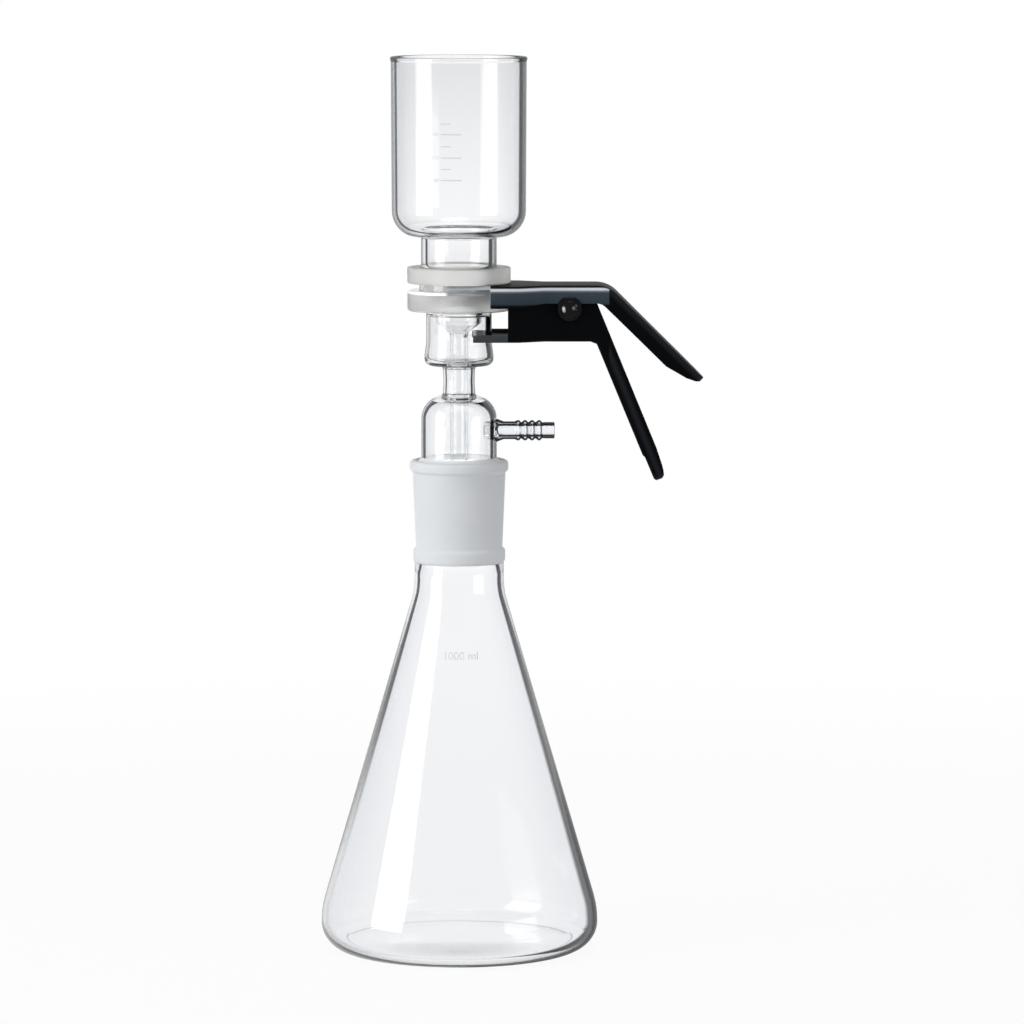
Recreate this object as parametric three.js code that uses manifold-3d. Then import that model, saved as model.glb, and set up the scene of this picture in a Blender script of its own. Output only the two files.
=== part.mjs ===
// Glass vacuum filtration unit: a graduated funnel on a fritted support base, which stands by a ground joint
// in a conical flask. A spring clamp of two folded metal halves goes round the flanges.
// Millimetres, +Z up. The glass axis is Z, the flask stands on Z = 0, and the clamp's handles point to +X.
import * as THREE from "three";
import { mergeVertices } from "three/addons/utils/BufferGeometryUtils.js";
import Module from "manifold-3d";

const wasm = await Module();
wasm.setup();

// ---- Driving dimensions ----

const ROUND_SEGMENTS = 32; // facets round the large glass pieces
const SMALL_SEGMENTS = 16; // facets round small turned pieces
const ARC_SAG = 0.3; // how far a fillet's chords may lie inside its arc
const SIDE_SHARE = 0.98; // most of a side that the fillets at its two ends may take
const FOLD_STEPS = 3; // steps across a fold of the clamp's sheet
const SEAT_GAP = 0.3; // clearance between pieces that rest on or in each other
const BLEND = 0.8; // fillet where two glass surfaces run into each other

const flask = {
  radius: 65.4, // widest, just above the base
  sideHeight: 19.5, // where the line of the cone meets the widest radius
  baseFillet: 14,
  sideFillet: 45,
  halfAngle: THREE.MathUtils.degToRad(16.3), // of the cone
  wall: 2.3,
  floor: 2.9,
  floorCrown: 1.3, // how far the inside of the base rises to its middle
  neckRadius: 21,
  shoulderFillet: 35,
  beadHeight: 184.2, // underside of the strengthening bead
  beadLength: 7.2,
  beadRadius: 21.7,
  beadSlope: 1.2, // length over which the bead rises and falls
  socketFootRadius: 20.35,
  socketTopRadius: 21.85,
  rimLength: 5.6,
  rimRadius: 23.2,
  rimFillet: 1.9,
  height: 232.5,
};

// Ground joint, 1 in 10 on the diameter.
const joint = {
  topRadius: 20,
  length: 48.2,
  taper: 0.05, // radius lost for each millimetre of depth
  leadIn: 0.7,
  runOut: 5, // height over which the ground bore gives way to the clear neck
};

const base = {
  wall: 1.9,
  coneLength: 48,
  chamberRadius: 17.75,
  chamberRise: 2, // height of the short shoulder over the ground cone
  domeHeight: 27.9, // of the dome's corner above the flask's rim
  domeRise: 2.6,
  domeFillet: 11,
  neckRadius: 7.3,
  neckWall: 1.5,
  neckLength: 13.55,
  bulbRadius: 16.2,
  bulbFillet: 3.2,
  bulbHeight: 11.15,
  bodyRadius: 15.4,
  bodyFillet: 5, // between bulb and body
  flangeRadius: 24.2,
  flangeThickness: 9.7,
  flangeHeight: 70.4, // underside of the flange above the flask's rim
  flangeFillet: 1.3,
  bossRadius: 18.5, // raised seat that carries the frit
  bossHeight: 3,
  bowlRadius: 10.6,
  bowlDepth: 5.4, // straight part of the bowl under the flange
  bowlCone: 5,
  bowlFillet: 2.5,
  tubeRadius: 4.2, // drip tube
  tubeBore: 3,
  tubeTipAboveCone: 2,
  tipSlant: THREE.MathUtils.degToRad(40),
};

const frit = { radius: 17, thickness: 3.5, ledge: 2.1, chamfer: 0.3 };

const sideArm = {
  heightAboveRim: 13.9,
  radius: 4.2,
  bore: 2.3,
  weldRadius: 5.8,
  weldLength: 3.2,
  innerStub: 4.2, // how far the tube reaches into the chamber
  plainLength: 8.4,
  ridges: 4,
  ridgePitch: 3.3,
  ridgeRadius: 4.8,
  ridgeFillet: 0.45,
  valleyRadius: 3.75,
  tipLength: 5.6,
  tipRadius: 3.85,
  tipFillet: 0.6,
};

const funnel = {
  wall: 2.4,
  flangeRadius: 24.25,
  flangeThickness: 7.5,
  flangeFillet: 0.7,
  stemRadius: 17.75,
  stemLength: 14.1,
  mouthFlare: 0.9, // how much the bore opens at the flange's face
  bowlFootRadius: 31.4,
  bowlTopRadius: 31.8,
  bowlFillet: 12.3,
  floorFillet: 2.6, // from the bowl's floor into the stem
  bowlHeight: 84.3,
  rimRadius: 32.1,
  rimLength: 2.3,
};

const clamp = {
  sheet: 1.6,
  bendRadius: 2.4, // outside of each fold
  forkClearance: 0.4, // between the upper fork and the boss
  forkHalfWidth: 23.5,
  forkReach: 5.3, // how far the upper arms pass the glass axis
  shoulderStart: 28,
  shoulderEnd: 40,
  waistHalfWidth: 16,
  upperWallStart: 14.7,
  upperForkWall: 10.3,
  upperWall: 8.4,
  lugRadius: 5.9,
  sideGap: 0.3, // between the nested side walls
  pivotX: 51.8,
  pivotDrop: 11, // below the top face of the upper plate
  upperBendX: 70, // where the faces of plate and handle would meet
  upperBendRadius: 14,
  upperHandleAngle: THREE.MathUtils.degToRad(44.6),
  upperHandleLength: 62.8,
  upperHandleDepth: 8.2,
  upperTaperStart: 46,
  upperTipDepth: 2.8,
  lowerPlateDrop: 26.5, // outer face of the lower plate below that of the upper one
  lowerForkTip: 6.7,
  lowerForkLip: 3.6,
  lowerSlotRadius: 17.6,
  lowerWallStart: 23,
  lowerBendX: 64.05,
  lowerShoulder: 3.4, // how far the wall falls just behind the pivot
  lowerBackRise: 15.8, // how far the handle's back edge runs up past its bend
  lowerHandleAngle: THREE.MathUtils.degToRad(67.6),
  lowerHandleLength: 72,
  lowerHandleDepth: 7.1,
  lowerTipDepth: 3.2,
  notchLength: 14, // from the lower handle's end to the step in its plate
  notchStep: 0.6,
  gripHalfWidth: 12,
  tipHalfWidth: 10.4,
  endHalfWidth: 4.5,
  endTaper: 4, // length over which both handles round off
};

const rivet = {
  radius: 2.4,
  holeGap: 0.3,
  headRadius: 4.2,
  headHeight: 2.4,
  washerRadius: 5.5,
  washerThickness: 0.8,
};

const spring = { wire: 1.3, coilRadius: 4.6, turns: 7, pitch: 1.5, sides: 6, legEndX: 12 };

// ---- Places worked out from them ----

const rimZ = flask.height;
const coneFootZ = rimZ - base.coneLength;
const flangeBottomZ = rimZ + base.flangeHeight;
const flangeTopZ = flangeBottomZ + base.flangeThickness;
const bossTopZ = flangeTopZ + base.bossHeight;
const fritFloorZ = bossTopZ - frit.thickness - SEAT_GAP;
const funnelZ = bossTopZ + SEAT_GAP;
const stemFootZ = funnelZ + funnel.flangeThickness;
const bowlZ = stemFootZ + funnel.stemLength;
const funnelTopZ = bowlZ + funnel.bowlHeight;
const armZ = rimZ + sideArm.heightAboveRim;
const plateZ = bossTopZ; // outer face of the clamp's upper plate
const pivotZ = plateZ - clamp.pivotDrop;
const lowerPlateZ = plateZ - clamp.lowerPlateDrop;

const socketRadius = (z) => joint.topRadius - joint.taper * (rimZ - z);

// ---- Shape helpers ----

// Turns corners [a, b, fillet] into points, with each fillet as an arc. Fillets too large for the side
// between them shrink alike. An arc's steps follow from its radius, unless arcSteps gives their number.
function rounded(corners, arcSteps = 0) {
  const bends = corners.map(([a, b, fillet = 0], i) => {
    const corner = new THREE.Vector2(a, b);
    const back = new THREE.Vector2(...corners.at(i - 1)).sub(corner);
    const ahead = new THREE.Vector2(...corners[(i + 1) % corners.length]).sub(corner);
    const turn = Math.PI - back.angleTo(ahead);
    return { corner, back, ahead, turn, fillet, reach: fillet * Math.tan(turn / 2) };
  });
  return bends.flatMap(({ corner, back, ahead, turn, fillet, reach }, i) => {
    if (!fillet) return [corner];
    const sideBack = SIDE_SHARE * back.length() / (reach + bends.at(i - 1).reach);
    const sideAhead = SIDE_SHARE * ahead.length() / (reach + bends[(i + 1) % bends.length].reach);
    const radius = fillet * Math.min(1, sideBack, sideAhead);
    const towardsBack = back.clone().normalize();
    const middle = ahead.clone().normalize().add(towardsBack).normalize();
    const start = corner.clone().addScaledVector(towardsBack, radius * Math.tan(turn / 2));
    const centre = corner.clone().addScaledVector(middle, radius / Math.cos(turn / 2));
    const sense = Math.sign(ahead.cross(back));
    const widestStep = 2 * Math.acos(Math.max(1 - ARC_SAG / radius, 0));
    const steps = arcSteps || Math.max(1, Math.ceil(turn / widestStep));
    const angles = Array.from({ length: steps + 1 }, (_, step) => (sense * turn * step) / steps);
    return angles.map((angle) => start.clone().rotateAround(centre, angle));
  });
}

// Body of revolution about Z from [radius, z, fillet] corners, which run up the outside and down the inside.
function turned(corners, segments = ROUND_SEGMENTS) {
  const points = rounded(corners);
  if (points[0].x > 0) points.push(points[0].clone());
  return new THREE.LatheGeometry(points, segments).rotateX(Math.PI / 2);
}

// Manifold solid of a closed geometry.
function solid(geometry) {
  const bare = geometry.index ? geometry.toNonIndexed() : geometry.clone();
  bare.deleteAttribute("normal");
  bare.deleteAttribute("uv");
  const merged = mergeVertices(bare, 1e-4);
  return new wasm.Manifold(
    new wasm.Mesh({
      numProp: 3,
      vertProperties: new Float32Array(merged.attributes.position.array),
      triVerts: new Uint32Array(merged.index.array),
    }),
  );
}

// Geometry of a manifold solid.
function geometryOf(body) {
  const mesh = body.getMesh();
  const geometry = new THREE.BufferGeometry();
  geometry.setAttribute("position", new THREE.BufferAttribute(mesh.vertProperties, 3));
  geometry.setIndex(new THREE.BufferAttribute(mesh.triVerts, 1));
  const faceted = geometry.toNonIndexed();
  faceted.computeVertexNormals();
  return faceted;
}

// Prism of an XY outline between two heights.
function prism(points, z0, z1) {
  return new THREE.ExtrudeGeometry(new THREE.Shape(points), { depth: z1 - z0, bevelEnabled: false })
    .translate(0, 0, z0);
}

function block(x0, x1, y0, y1, z0, z1) {
  return new THREE.BoxGeometry(x1 - x0, y1 - y0, z1 - z0)
    .translate((x0 + x1) / 2, (y0 + y1) / 2, (z0 + z1) / 2);
}

function rodAlongX(radius, x0, x1, z) {
  return new THREE.CylinderGeometry(radius, radius, x1 - x0, SMALL_SEGMENTS)
    .rotateZ(Math.PI / 2)
    .translate((x0 + x1) / 2, 0, z);
}

// Round bar across the clamp, along Y, on the pivot.
function pivotBar(radius, halfLength) {
  return new THREE.CylinderGeometry(radius, radius, 2 * halfLength, SMALL_SEGMENTS)
    .translate(clamp.pivotX, 0, pivotZ);
}

// ---- Glass ----

function flaskGeometry() {
  const slope = Math.tan(flask.halfAngle);
  const coneTopZ = flask.sideHeight + (flask.radius - flask.neckRadius) / slope;
  const insideDrop = (flask.wall / Math.cos(flask.halfAngle) - flask.wall) / slope; // of the cone's corners
  const innerNeck = flask.neckRadius - flask.wall;
  const innerSide = flask.radius - flask.wall;
  const beadTopZ = flask.beadHeight + flask.beadLength;
  const rimFootZ = flask.height - flask.rimLength;
  const boreFootZ = rimZ - joint.length;
  return turned([
    [0, 0],
    [flask.radius, 0, flask.baseFillet],
    [flask.radius, flask.sideHeight, flask.sideFillet],
    [flask.neckRadius, coneTopZ, flask.shoulderFillet],
    [flask.neckRadius, flask.beadHeight, BLEND],
    [flask.beadRadius, flask.beadHeight + flask.beadSlope, 2 * BLEND],
    [flask.beadRadius, beadTopZ - flask.beadSlope, 2 * BLEND],
    [flask.socketFootRadius, beadTopZ, BLEND],
    [flask.socketTopRadius, rimFootZ, BLEND],
    [flask.rimRadius, rimFootZ + BLEND, 2 * BLEND],
    [flask.rimRadius, flask.height, flask.rimFillet],
    [joint.topRadius + joint.leadIn, flask.height],
    [socketRadius(rimZ - joint.leadIn), rimZ - joint.leadIn],
    [socketRadius(boreFootZ), boreFootZ],
    [innerNeck, boreFootZ - joint.runOut, 4 * BLEND],
    [innerNeck, coneTopZ - insideDrop, flask.shoulderFillet],
    [innerSide, flask.sideHeight - insideDrop, flask.sideFillet - flask.wall],
    [innerSide, flask.floor, flask.baseFillet - flask.wall],
    [0, flask.floor + flask.floorCrown],
  ]);
}

const armRidgesX = base.chamberRadius + sideArm.plainLength;
const armTipX = armRidgesX + sideArm.ridges * sideArm.ridgePitch;
const armEndX = armTipX + sideArm.tipLength;

// Tube with a ridged hose end, turned about Z from the glass axis outwards, then laid along X.
function sideArmGeometry() {
  const rootX = base.chamberRadius - base.wall - sideArm.innerStub;
  const crest = sideArm.ridgePitch / 7; // half the width of a ridge's top
  const corners = [
    [0, rootX],
    [sideArm.radius, rootX, BLEND],
    [sideArm.radius, base.chamberRadius - 1.5 * base.wall, BLEND],
    [sideArm.weldRadius, base.chamberRadius - base.wall / 2],
    [sideArm.weldRadius, base.chamberRadius - BLEND],
    [sideArm.radius, base.chamberRadius + sideArm.weldLength, sideArm.weldLength],
    [sideArm.radius, armRidgesX, BLEND],
  ];
  for (let i = 0; i < sideArm.ridges; i++) {
    const x = armRidgesX + (i + 0.5) * sideArm.ridgePitch;
    corners.push([sideArm.ridgeRadius, x - crest, sideArm.ridgeFillet]);
    corners.push([sideArm.ridgeRadius, x + crest, sideArm.ridgeFillet]);
    corners.push([sideArm.valleyRadius, x + 3 * crest, sideArm.ridgeFillet]);
  }
  corners.push(
    [sideArm.tipRadius, armTipX + 2 * BLEND, 2 * BLEND],
    [sideArm.tipRadius, armEndX, sideArm.tipFillet],
    [0, armEndX],
  );
  return turned(corners, SMALL_SEGMENTS).rotateY(Math.PI / 2).translate(0, 0, armZ);
}

// Closed section of the support base: ground cone, vacuum chamber, neck, bulb, flange and boss on the
// outside, and the bowl and drip tube, which hang from the flange, on the inside.
function supportBaseSection() {
  const coneRadius = (z) => socketRadius(z) - SEAT_GAP;
  const coneTopZ = rimZ - joint.leadIn - SEAT_GAP;
  const chamberZ = coneTopZ + base.chamberRise;
  const domeZ = rimZ + base.domeHeight;
  const neckFootZ = domeZ + base.domeRise;
  const neckTopZ = neckFootZ + base.neckLength;
  const neckMiddleZ = (neckFootZ + neckTopZ) / 2;
  const neckFlare = base.neckRadius + base.neckWall / 4; // at both ends of the neck
  const bulbMiddleZ = neckTopZ + base.bulbHeight / 2;
  const bulbTopZ = neckTopZ + base.bulbHeight;
  const bowlBore = base.bowlRadius - base.wall;
  const bowlFootZ = flangeBottomZ - base.bowlDepth;
  const tubeTopZ = bowlFootZ - base.bowlCone;
  const tubeTipZ = coneFootZ + base.tubeTipAboveCone;
  const jacketTopZ = flangeBottomZ - base.wall;
  const ledgeRadius = frit.radius - frit.ledge;
  return [
    [coneRadius(coneFootZ) - base.wall, coneFootZ, BLEND],
    [coneRadius(coneFootZ), coneFootZ, BLEND],
    [coneRadius(coneTopZ), coneTopZ],
    [base.chamberRadius, chamberZ, BLEND],
    [base.chamberRadius, domeZ, base.domeFillet],
    [neckFlare, neckFootZ, 2 * BLEND],
    [base.neckRadius, neckMiddleZ],
    [neckFlare, neckTopZ, 2 * BLEND],
    [base.bulbRadius, neckTopZ + BLEND, base.bulbFillet],
    [base.bulbRadius, bulbMiddleZ, base.bulbFillet],
    [base.bodyRadius, bulbTopZ, base.bodyFillet],
    [base.bodyRadius, flangeBottomZ, BLEND],
    [base.flangeRadius, flangeBottomZ, base.flangeFillet],
    [base.flangeRadius, flangeTopZ, base.flangeFillet],
    [base.bossRadius, flangeTopZ],
    [base.bossRadius, bossTopZ],
    [frit.radius + SEAT_GAP, bossTopZ],
    [frit.radius + SEAT_GAP, fritFloorZ],
    [ledgeRadius, fritFloorZ],
    [bowlBore, flangeBottomZ + base.wall, base.bowlFillet],
    [bowlBore, bowlFootZ, base.bowlFillet],
    [base.tubeBore, tubeTopZ + base.wall / 2, base.bowlFillet],
    [base.tubeBore, tubeTipZ],
    [base.tubeRadius, tubeTipZ],
    [base.tubeRadius, tubeTopZ, base.bowlFillet],
    [base.bowlRadius, bowlFootZ, base.bowlFillet],
    [base.bowlRadius, jacketTopZ],
    [base.bodyRadius - base.wall, jacketTopZ],
    [base.bodyRadius - base.wall, bulbTopZ],
    [base.bulbRadius - base.wall, bulbMiddleZ],
    [base.bulbRadius - base.wall, neckTopZ + BLEND + base.wall, base.bulbFillet - base.wall / 2],
    [neckFlare - base.neckWall, neckTopZ + base.wall],
    [base.neckRadius - base.neckWall, neckMiddleZ],
    [neckFlare - base.neckWall, neckFootZ - base.wall],
    [base.chamberRadius - base.wall, domeZ - base.wall, base.domeFillet - base.wall],
    [base.chamberRadius - base.wall, chamberZ - base.wall / 2],
    [coneRadius(coneTopZ) - base.wall, coneTopZ - base.wall / 2],
  ];
}

function supportBaseGeometry() {
  const armBore = rodAlongX(sideArm.bore, base.tubeRadius + base.wall, armEndX + 1, armZ);
  const tipZ = coneFootZ + base.tubeTipAboveCone;
  const belowSlant = block(-20, 20, -20, 20, -20, 0)
    .rotateY(base.tipSlant)
    .translate(0, 0, tipZ + base.tubeRadius * Math.tan(base.tipSlant));
  const tubeSpace = turned(
    [
      [0, tipZ - 1],
      [base.tubeRadius + 1, tipZ - 1],
      [base.tubeRadius + 1, tipZ + 20],
      [0, tipZ + 20],
    ],
    SMALL_SEGMENTS,
  );
  return geometryOf(
    solid(turned(supportBaseSection()))
      .add(solid(sideArmGeometry()))
      .subtract(solid(armBore))
      .subtract(solid(belowSlant).intersect(solid(tubeSpace))),
  );
}

function fritGeometry() {
  const top = bossTopZ;
  return turned([
    [0, top - frit.thickness],
    [frit.radius - frit.chamfer, top - frit.thickness],
    [frit.radius, top - frit.thickness + frit.chamfer],
    [frit.radius, top - frit.chamfer],
    [frit.radius - frit.chamfer, top],
    [0, top],
  ]);
}

function funnelGeometry() {
  const bore = funnel.stemRadius - funnel.wall;
  const floorZ = bowlZ + funnel.wall;
  const rimFootZ = funnelTopZ - funnel.rimLength;
  return turned([
    [bore + funnel.mouthFlare, funnelZ],
    [funnel.flangeRadius, funnelZ, funnel.flangeFillet],
    [funnel.flangeRadius, stemFootZ, funnel.flangeFillet],
    [funnel.stemRadius, stemFootZ, 2 * BLEND],
    [funnel.stemRadius, bowlZ, BLEND],
    [funnel.bowlFootRadius, bowlZ, funnel.bowlFillet],
    [funnel.bowlTopRadius, rimFootZ, BLEND],
    [funnel.rimRadius, rimFootZ + BLEND, BLEND],
    [funnel.rimRadius, funnelTopZ, BLEND],
    [funnel.bowlTopRadius - funnel.wall, funnelTopZ, BLEND],
    [funnel.bowlFootRadius - funnel.wall, floorZ, funnel.bowlFillet - funnel.wall],
    [bore, floorZ, funnel.floorFillet],
    [bore, stemFootZ - funnel.flangeThickness / 2, funnel.floorFillet],
  ]);
}

// ---- Clamp ----

// U section across the clamp. It lies in the plane through Y and the line from the plate point to the
// edge point, both [x, z], and its fold corners are rounded.
function channelSection({ plate, edge, half }) {
  const from = new THREE.Vector3(plate[0], 0, plate[1]);
  const inward = new THREE.Vector3(edge[0], 0, edge[1]).sub(from);
  const depth = inward.length();
  inward.normalize();
  const { sheet, bendRadius } = clamp;
  const flat = rounded([
    [-half, depth],
    [-half, 0, bendRadius],
    [half, 0, bendRadius],
    [half, depth],
    [half - sheet, depth],
    [half - sheet, sheet, bendRadius - sheet],
    [sheet - half, sheet, bendRadius - sheet],
    [sheet - half, depth],
  ], FOLD_STEPS);
  return { flat, ring: flat.map((p) => from.clone().addScaledVector(inward, p.y).setY(p.x)) };
}

// Closed body through a row of sections with the same number of points, each run anticlockwise about
// the direction of the row.
function lofted(sections) {
  const positions = [];
  const triangle = (...points) => points.forEach((p) => positions.push(p.x, p.y, p.z));
  sections.slice(1).forEach(({ ring: next }, i) => {
    const { ring } = sections[i];
    ring.forEach((point, a) => {
      const b = (a + 1) % ring.length;
      triangle(point, ring[b], next[b]);
      triangle(point, next[b], next[a]);
    });
  });
  const cap = ({ flat, ring }, facing) => {
    for (const [a, b, c] of THREE.ShapeUtils.triangulateShape(flat, [])) {
      const turn = flat[b].clone().sub(flat[a]).cross(flat[c].clone().sub(flat[a]));
      if (turn * facing > 0) triangle(ring[a], ring[b], ring[c]);
      else triangle(ring[a], ring[c], ring[b]);
    }
  };
  cap(sections[0], -1);
  cap(sections.at(-1), 1);
  return new THREE.BufferGeometry()
    .setAttribute("position", new THREE.Float32BufferAttribute(positions, 3));
}

// Channel lofted through stations, taken in whichever order makes its faces point out.
function channelBody(stations) {
  const sections = stations.map(channelSection);
  const body = solid(lofted(sections));
  return body.volume() > 0 ? body : solid(lofted(sections.reverse()));
}

// Plan of a fork with a round slot open to -X and round arm ends, as wide as the clamp behind it.
function forkPlan({ tipX, slotRadius, halfWidth }) {
  const farX = clamp.upperBendX + clamp.upperHandleLength;
  const outside = halfWidth + 1;
  const armWidth = halfWidth - slotRadius;
  const armEnd = 0.45 * armWidth;
  const tipAngle = Math.acos(Math.max(tipX, 0) / slotRadius); // where the slot's arc meets the arms' ends
  const innerY = slotRadius * Math.sin(tipAngle);
  const corners = [
    [tipX, innerY, armEnd],
    [tipX, halfWidth, armEnd],
    [tipX + armWidth, halfWidth],
    [tipX + armWidth, outside],
    [farX, outside],
    [farX, -outside],
    [tipX + armWidth, -outside],
    [tipX + armWidth, -halfWidth],
    [tipX, -halfWidth, armEnd],
    [tipX, -innerY, armEnd],
  ];
  const arcAngle = tipX > 0 ? tipAngle - armEnd / slotRadius : tipAngle;
  const steps = ROUND_SEGMENTS / 2;
  for (let i = 0; i <= steps; i++) {
    const angle = arcAngle * ((2 * i) / steps - 1);
    corners.push([slotRadius * Math.cos(angle), slotRadius * Math.sin(angle)]);
  }
  return rounded(corners);
}

// Stations along a handle from [distance, half width, depth, lift] rows. Its plate runs down from the bend
// point at the angle, its walls stand on the given side, and lift raises the plate towards them.
function handleStations(bend, angle, wallSide, rows) {
  const along = new THREE.Vector2(Math.cos(angle), -Math.sin(angle));
  const inward = new THREE.Vector2(-along.y, along.x).multiplyScalar(wallSide);
  return rows.map(([distance, half, depth, lift = 0]) => {
    const plate = new THREE.Vector2(...bend).addScaledVector(along, distance).addScaledVector(inward, lift);
    const edge = plate.clone().addScaledVector(inward, depth);
    return { plate: plate.toArray(), edge: edge.toArray(), half };
  });
}

// Cuts a channel's plate to its fork, clears the fork arms of side walls over a height, and drills the pivot.
function forked(channel, plan, relief, waist) {
  const tall = [lowerPlateZ - clamp.lowerHandleLength - 10, plateZ + 10];
  const hole = pivotBar(rivet.radius + rivet.holeGap, waist + 1);
  return channel
    .intersect(solid(prism(forkPlan(plan), ...tall)))
    .subtract(solid(block(-50, relief.x, -50, 50, relief.z0, relief.z1)))
    .subtract(solid(hole));
}

function clampUpperHalf() {
  const { forkHalfWidth: wide, waistHalfWidth: waist, upperHandleDepth: deep, endTaper } = clamp;
  const { upperBendRadius: radius, upperHandleAngle: angle, upperHandleLength: length } = clamp;
  const straight = (x, half, depth) => ({ plate: [x, plateZ], edge: [x, plateZ - depth], half });
  const bendStartX = clamp.upperBendX - radius * Math.tan(angle / 2);
  const bendSteps = 5;
  const bent = [];
  for (let i = 0; i < bendSteps; i++) {
    const share = i / bendSteps;
    const [across, up] = [Math.sin(angle * share), Math.cos(angle * share)];
    const edgeRadius = radius - THREE.MathUtils.lerp(clamp.upperWall, deep, share);
    bent.push({
      plate: [bendStartX + radius * across, plateZ - radius + radius * up],
      edge: [bendStartX + edgeRadius * across, plateZ - radius + edgeRadius * up],
      half: waist,
    });
  }
  const channel = channelBody([
    straight(-clamp.forkReach - 2, wide, clamp.upperForkWall),
    straight(clamp.shoulderStart, wide, clamp.upperForkWall),
    straight(clamp.shoulderEnd, waist, clamp.upperWall),
    ...bent,
    ...handleStations([clamp.upperBendX, plateZ], angle, -1, [
      [radius * Math.tan(angle / 2), waist, deep],
      [clamp.upperTaperStart / 2, clamp.gripHalfWidth + 1, deep],
      [clamp.upperTaperStart, clamp.gripHalfWidth, deep],
      [length - 1.5 * endTaper, clamp.tipHalfWidth, (deep + clamp.upperTipDepth) / 2],
      [length - 0.4 * endTaper, 0.7 * clamp.tipHalfWidth, clamp.upperTipDepth],
      [length, clamp.endHalfWidth, clamp.bendRadius],
    ]),
  ]);
  const slotRadius = base.bossRadius + clamp.forkClearance;
  const plan = { tipX: -clamp.forkReach, slotRadius, halfWidth: wide };
  const relief = { x: clamp.upperWallStart, z0: plateZ - 2 * clamp.upperForkWall, z1: plateZ - clamp.sheet };
  const ears = solid(pivotBar(clamp.lugRadius, waist))
    .subtract(solid(pivotBar(clamp.lugRadius + 1, waist - clamp.sheet)));
  return geometryOf(forked(channel.add(ears), plan, relief, waist));
}

function clampLowerHalf() {
  const inset = clamp.sheet + clamp.sideGap;
  const wide = clamp.forkHalfWidth - inset;
  const waist = clamp.waistHalfWidth - inset;
  const { lowerBendX, lowerHandleDepth: deep, lowerHandleAngle: angle, lowerHandleLength: length } = clamp;
  const { lowerTipDepth: tipDepth, notchStep: step } = clamp;
  const wallTopZ = plateZ - clamp.sheet - SEAT_GAP; // rests under the upper plate
  const straight = (x, half, edge = [x, wallTopZ]) => ({ plate: [x, lowerPlateZ], edge, half });
  const bend = [lowerBendX, lowerPlateZ];
  const backEdge = (distance) => handleStations(bend, angle, 1, [[distance, waist, deep]])[0].edge;
  const channel = channelBody([
    straight(clamp.lowerForkTip - 2, wide),
    straight(clamp.shoulderStart, wide),
    straight(clamp.shoulderEnd, waist),
    straight(clamp.pivotX, waist),
    straight(clamp.pivotX + clamp.lugRadius / 2, waist, [
      clamp.pivotX + clamp.lugRadius,
      wallTopZ - clamp.lowerShoulder,
    ]),
    straight(lowerBendX - clamp.lugRadius, waist, backEdge(-clamp.lowerBackRise)),
    straight(lowerBendX - clamp.bendRadius, waist, backEdge(-clamp.lowerBackRise / 2)),
    ...handleStations(bend, angle, 1, [
      [clamp.bendRadius / 2, waist, deep],
      [length / 2, clamp.gripHalfWidth, deep],
      [length - clamp.notchLength, clamp.gripHalfWidth - 1, deep],
      [length - 0.9 * clamp.notchLength, clamp.tipHalfWidth, deep - step, step],
      [length - clamp.endTaper, 0.8 * clamp.tipHalfWidth, deep - 2 * step, step],
      [length - 0.3 * clamp.endTaper, 0.6 * clamp.tipHalfWidth, (deep + tipDepth) / 2, step],
      [length, clamp.endHalfWidth, tipDepth, 2 * step],
    ]),
  ]);
  const plan = { tipX: clamp.lowerForkTip, slotRadius: clamp.lowerSlotRadius, halfWidth: wide };
  const relief = { x: clamp.lowerWallStart, z0: lowerPlateZ + clamp.lowerForkLip, z1: plateZ };
  return geometryOf(forked(channel, plan, relief, waist));
}

// Rivet turned about its own axis, with a domed head at each end.
function rivetGeometry() {
  const headY = clamp.waistHalfWidth + rivet.washerThickness + 2 * SEAT_GAP;
  const endY = headY + rivet.headHeight;
  const flat = rivet.headRadius * 0.35;
  return turned(
    [
      [0, -endY],
      [flat, -endY, 0.5],
      [rivet.headRadius, -headY - rivet.headHeight * 0.45, 1.4],
      [rivet.headRadius, -headY, 0.3],
      [rivet.radius, -headY],
      [rivet.radius, headY],
      [rivet.headRadius, headY, 0.3],
      [rivet.headRadius, headY + rivet.headHeight * 0.45, 1.4],
      [flat, endY, 0.5],
      [0, endY],
    ],
    SMALL_SEGMENTS,
  );
}

function washerGeometry() {
  const bore = rivet.radius + rivet.holeGap;
  return turned(
    [
      [bore, 0],
      [rivet.washerRadius, 0],
      [rivet.washerRadius, rivet.washerThickness, 0.3],
      [bore, rivet.washerThickness],
    ],
    SMALL_SEGMENTS,
  );
}

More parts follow.
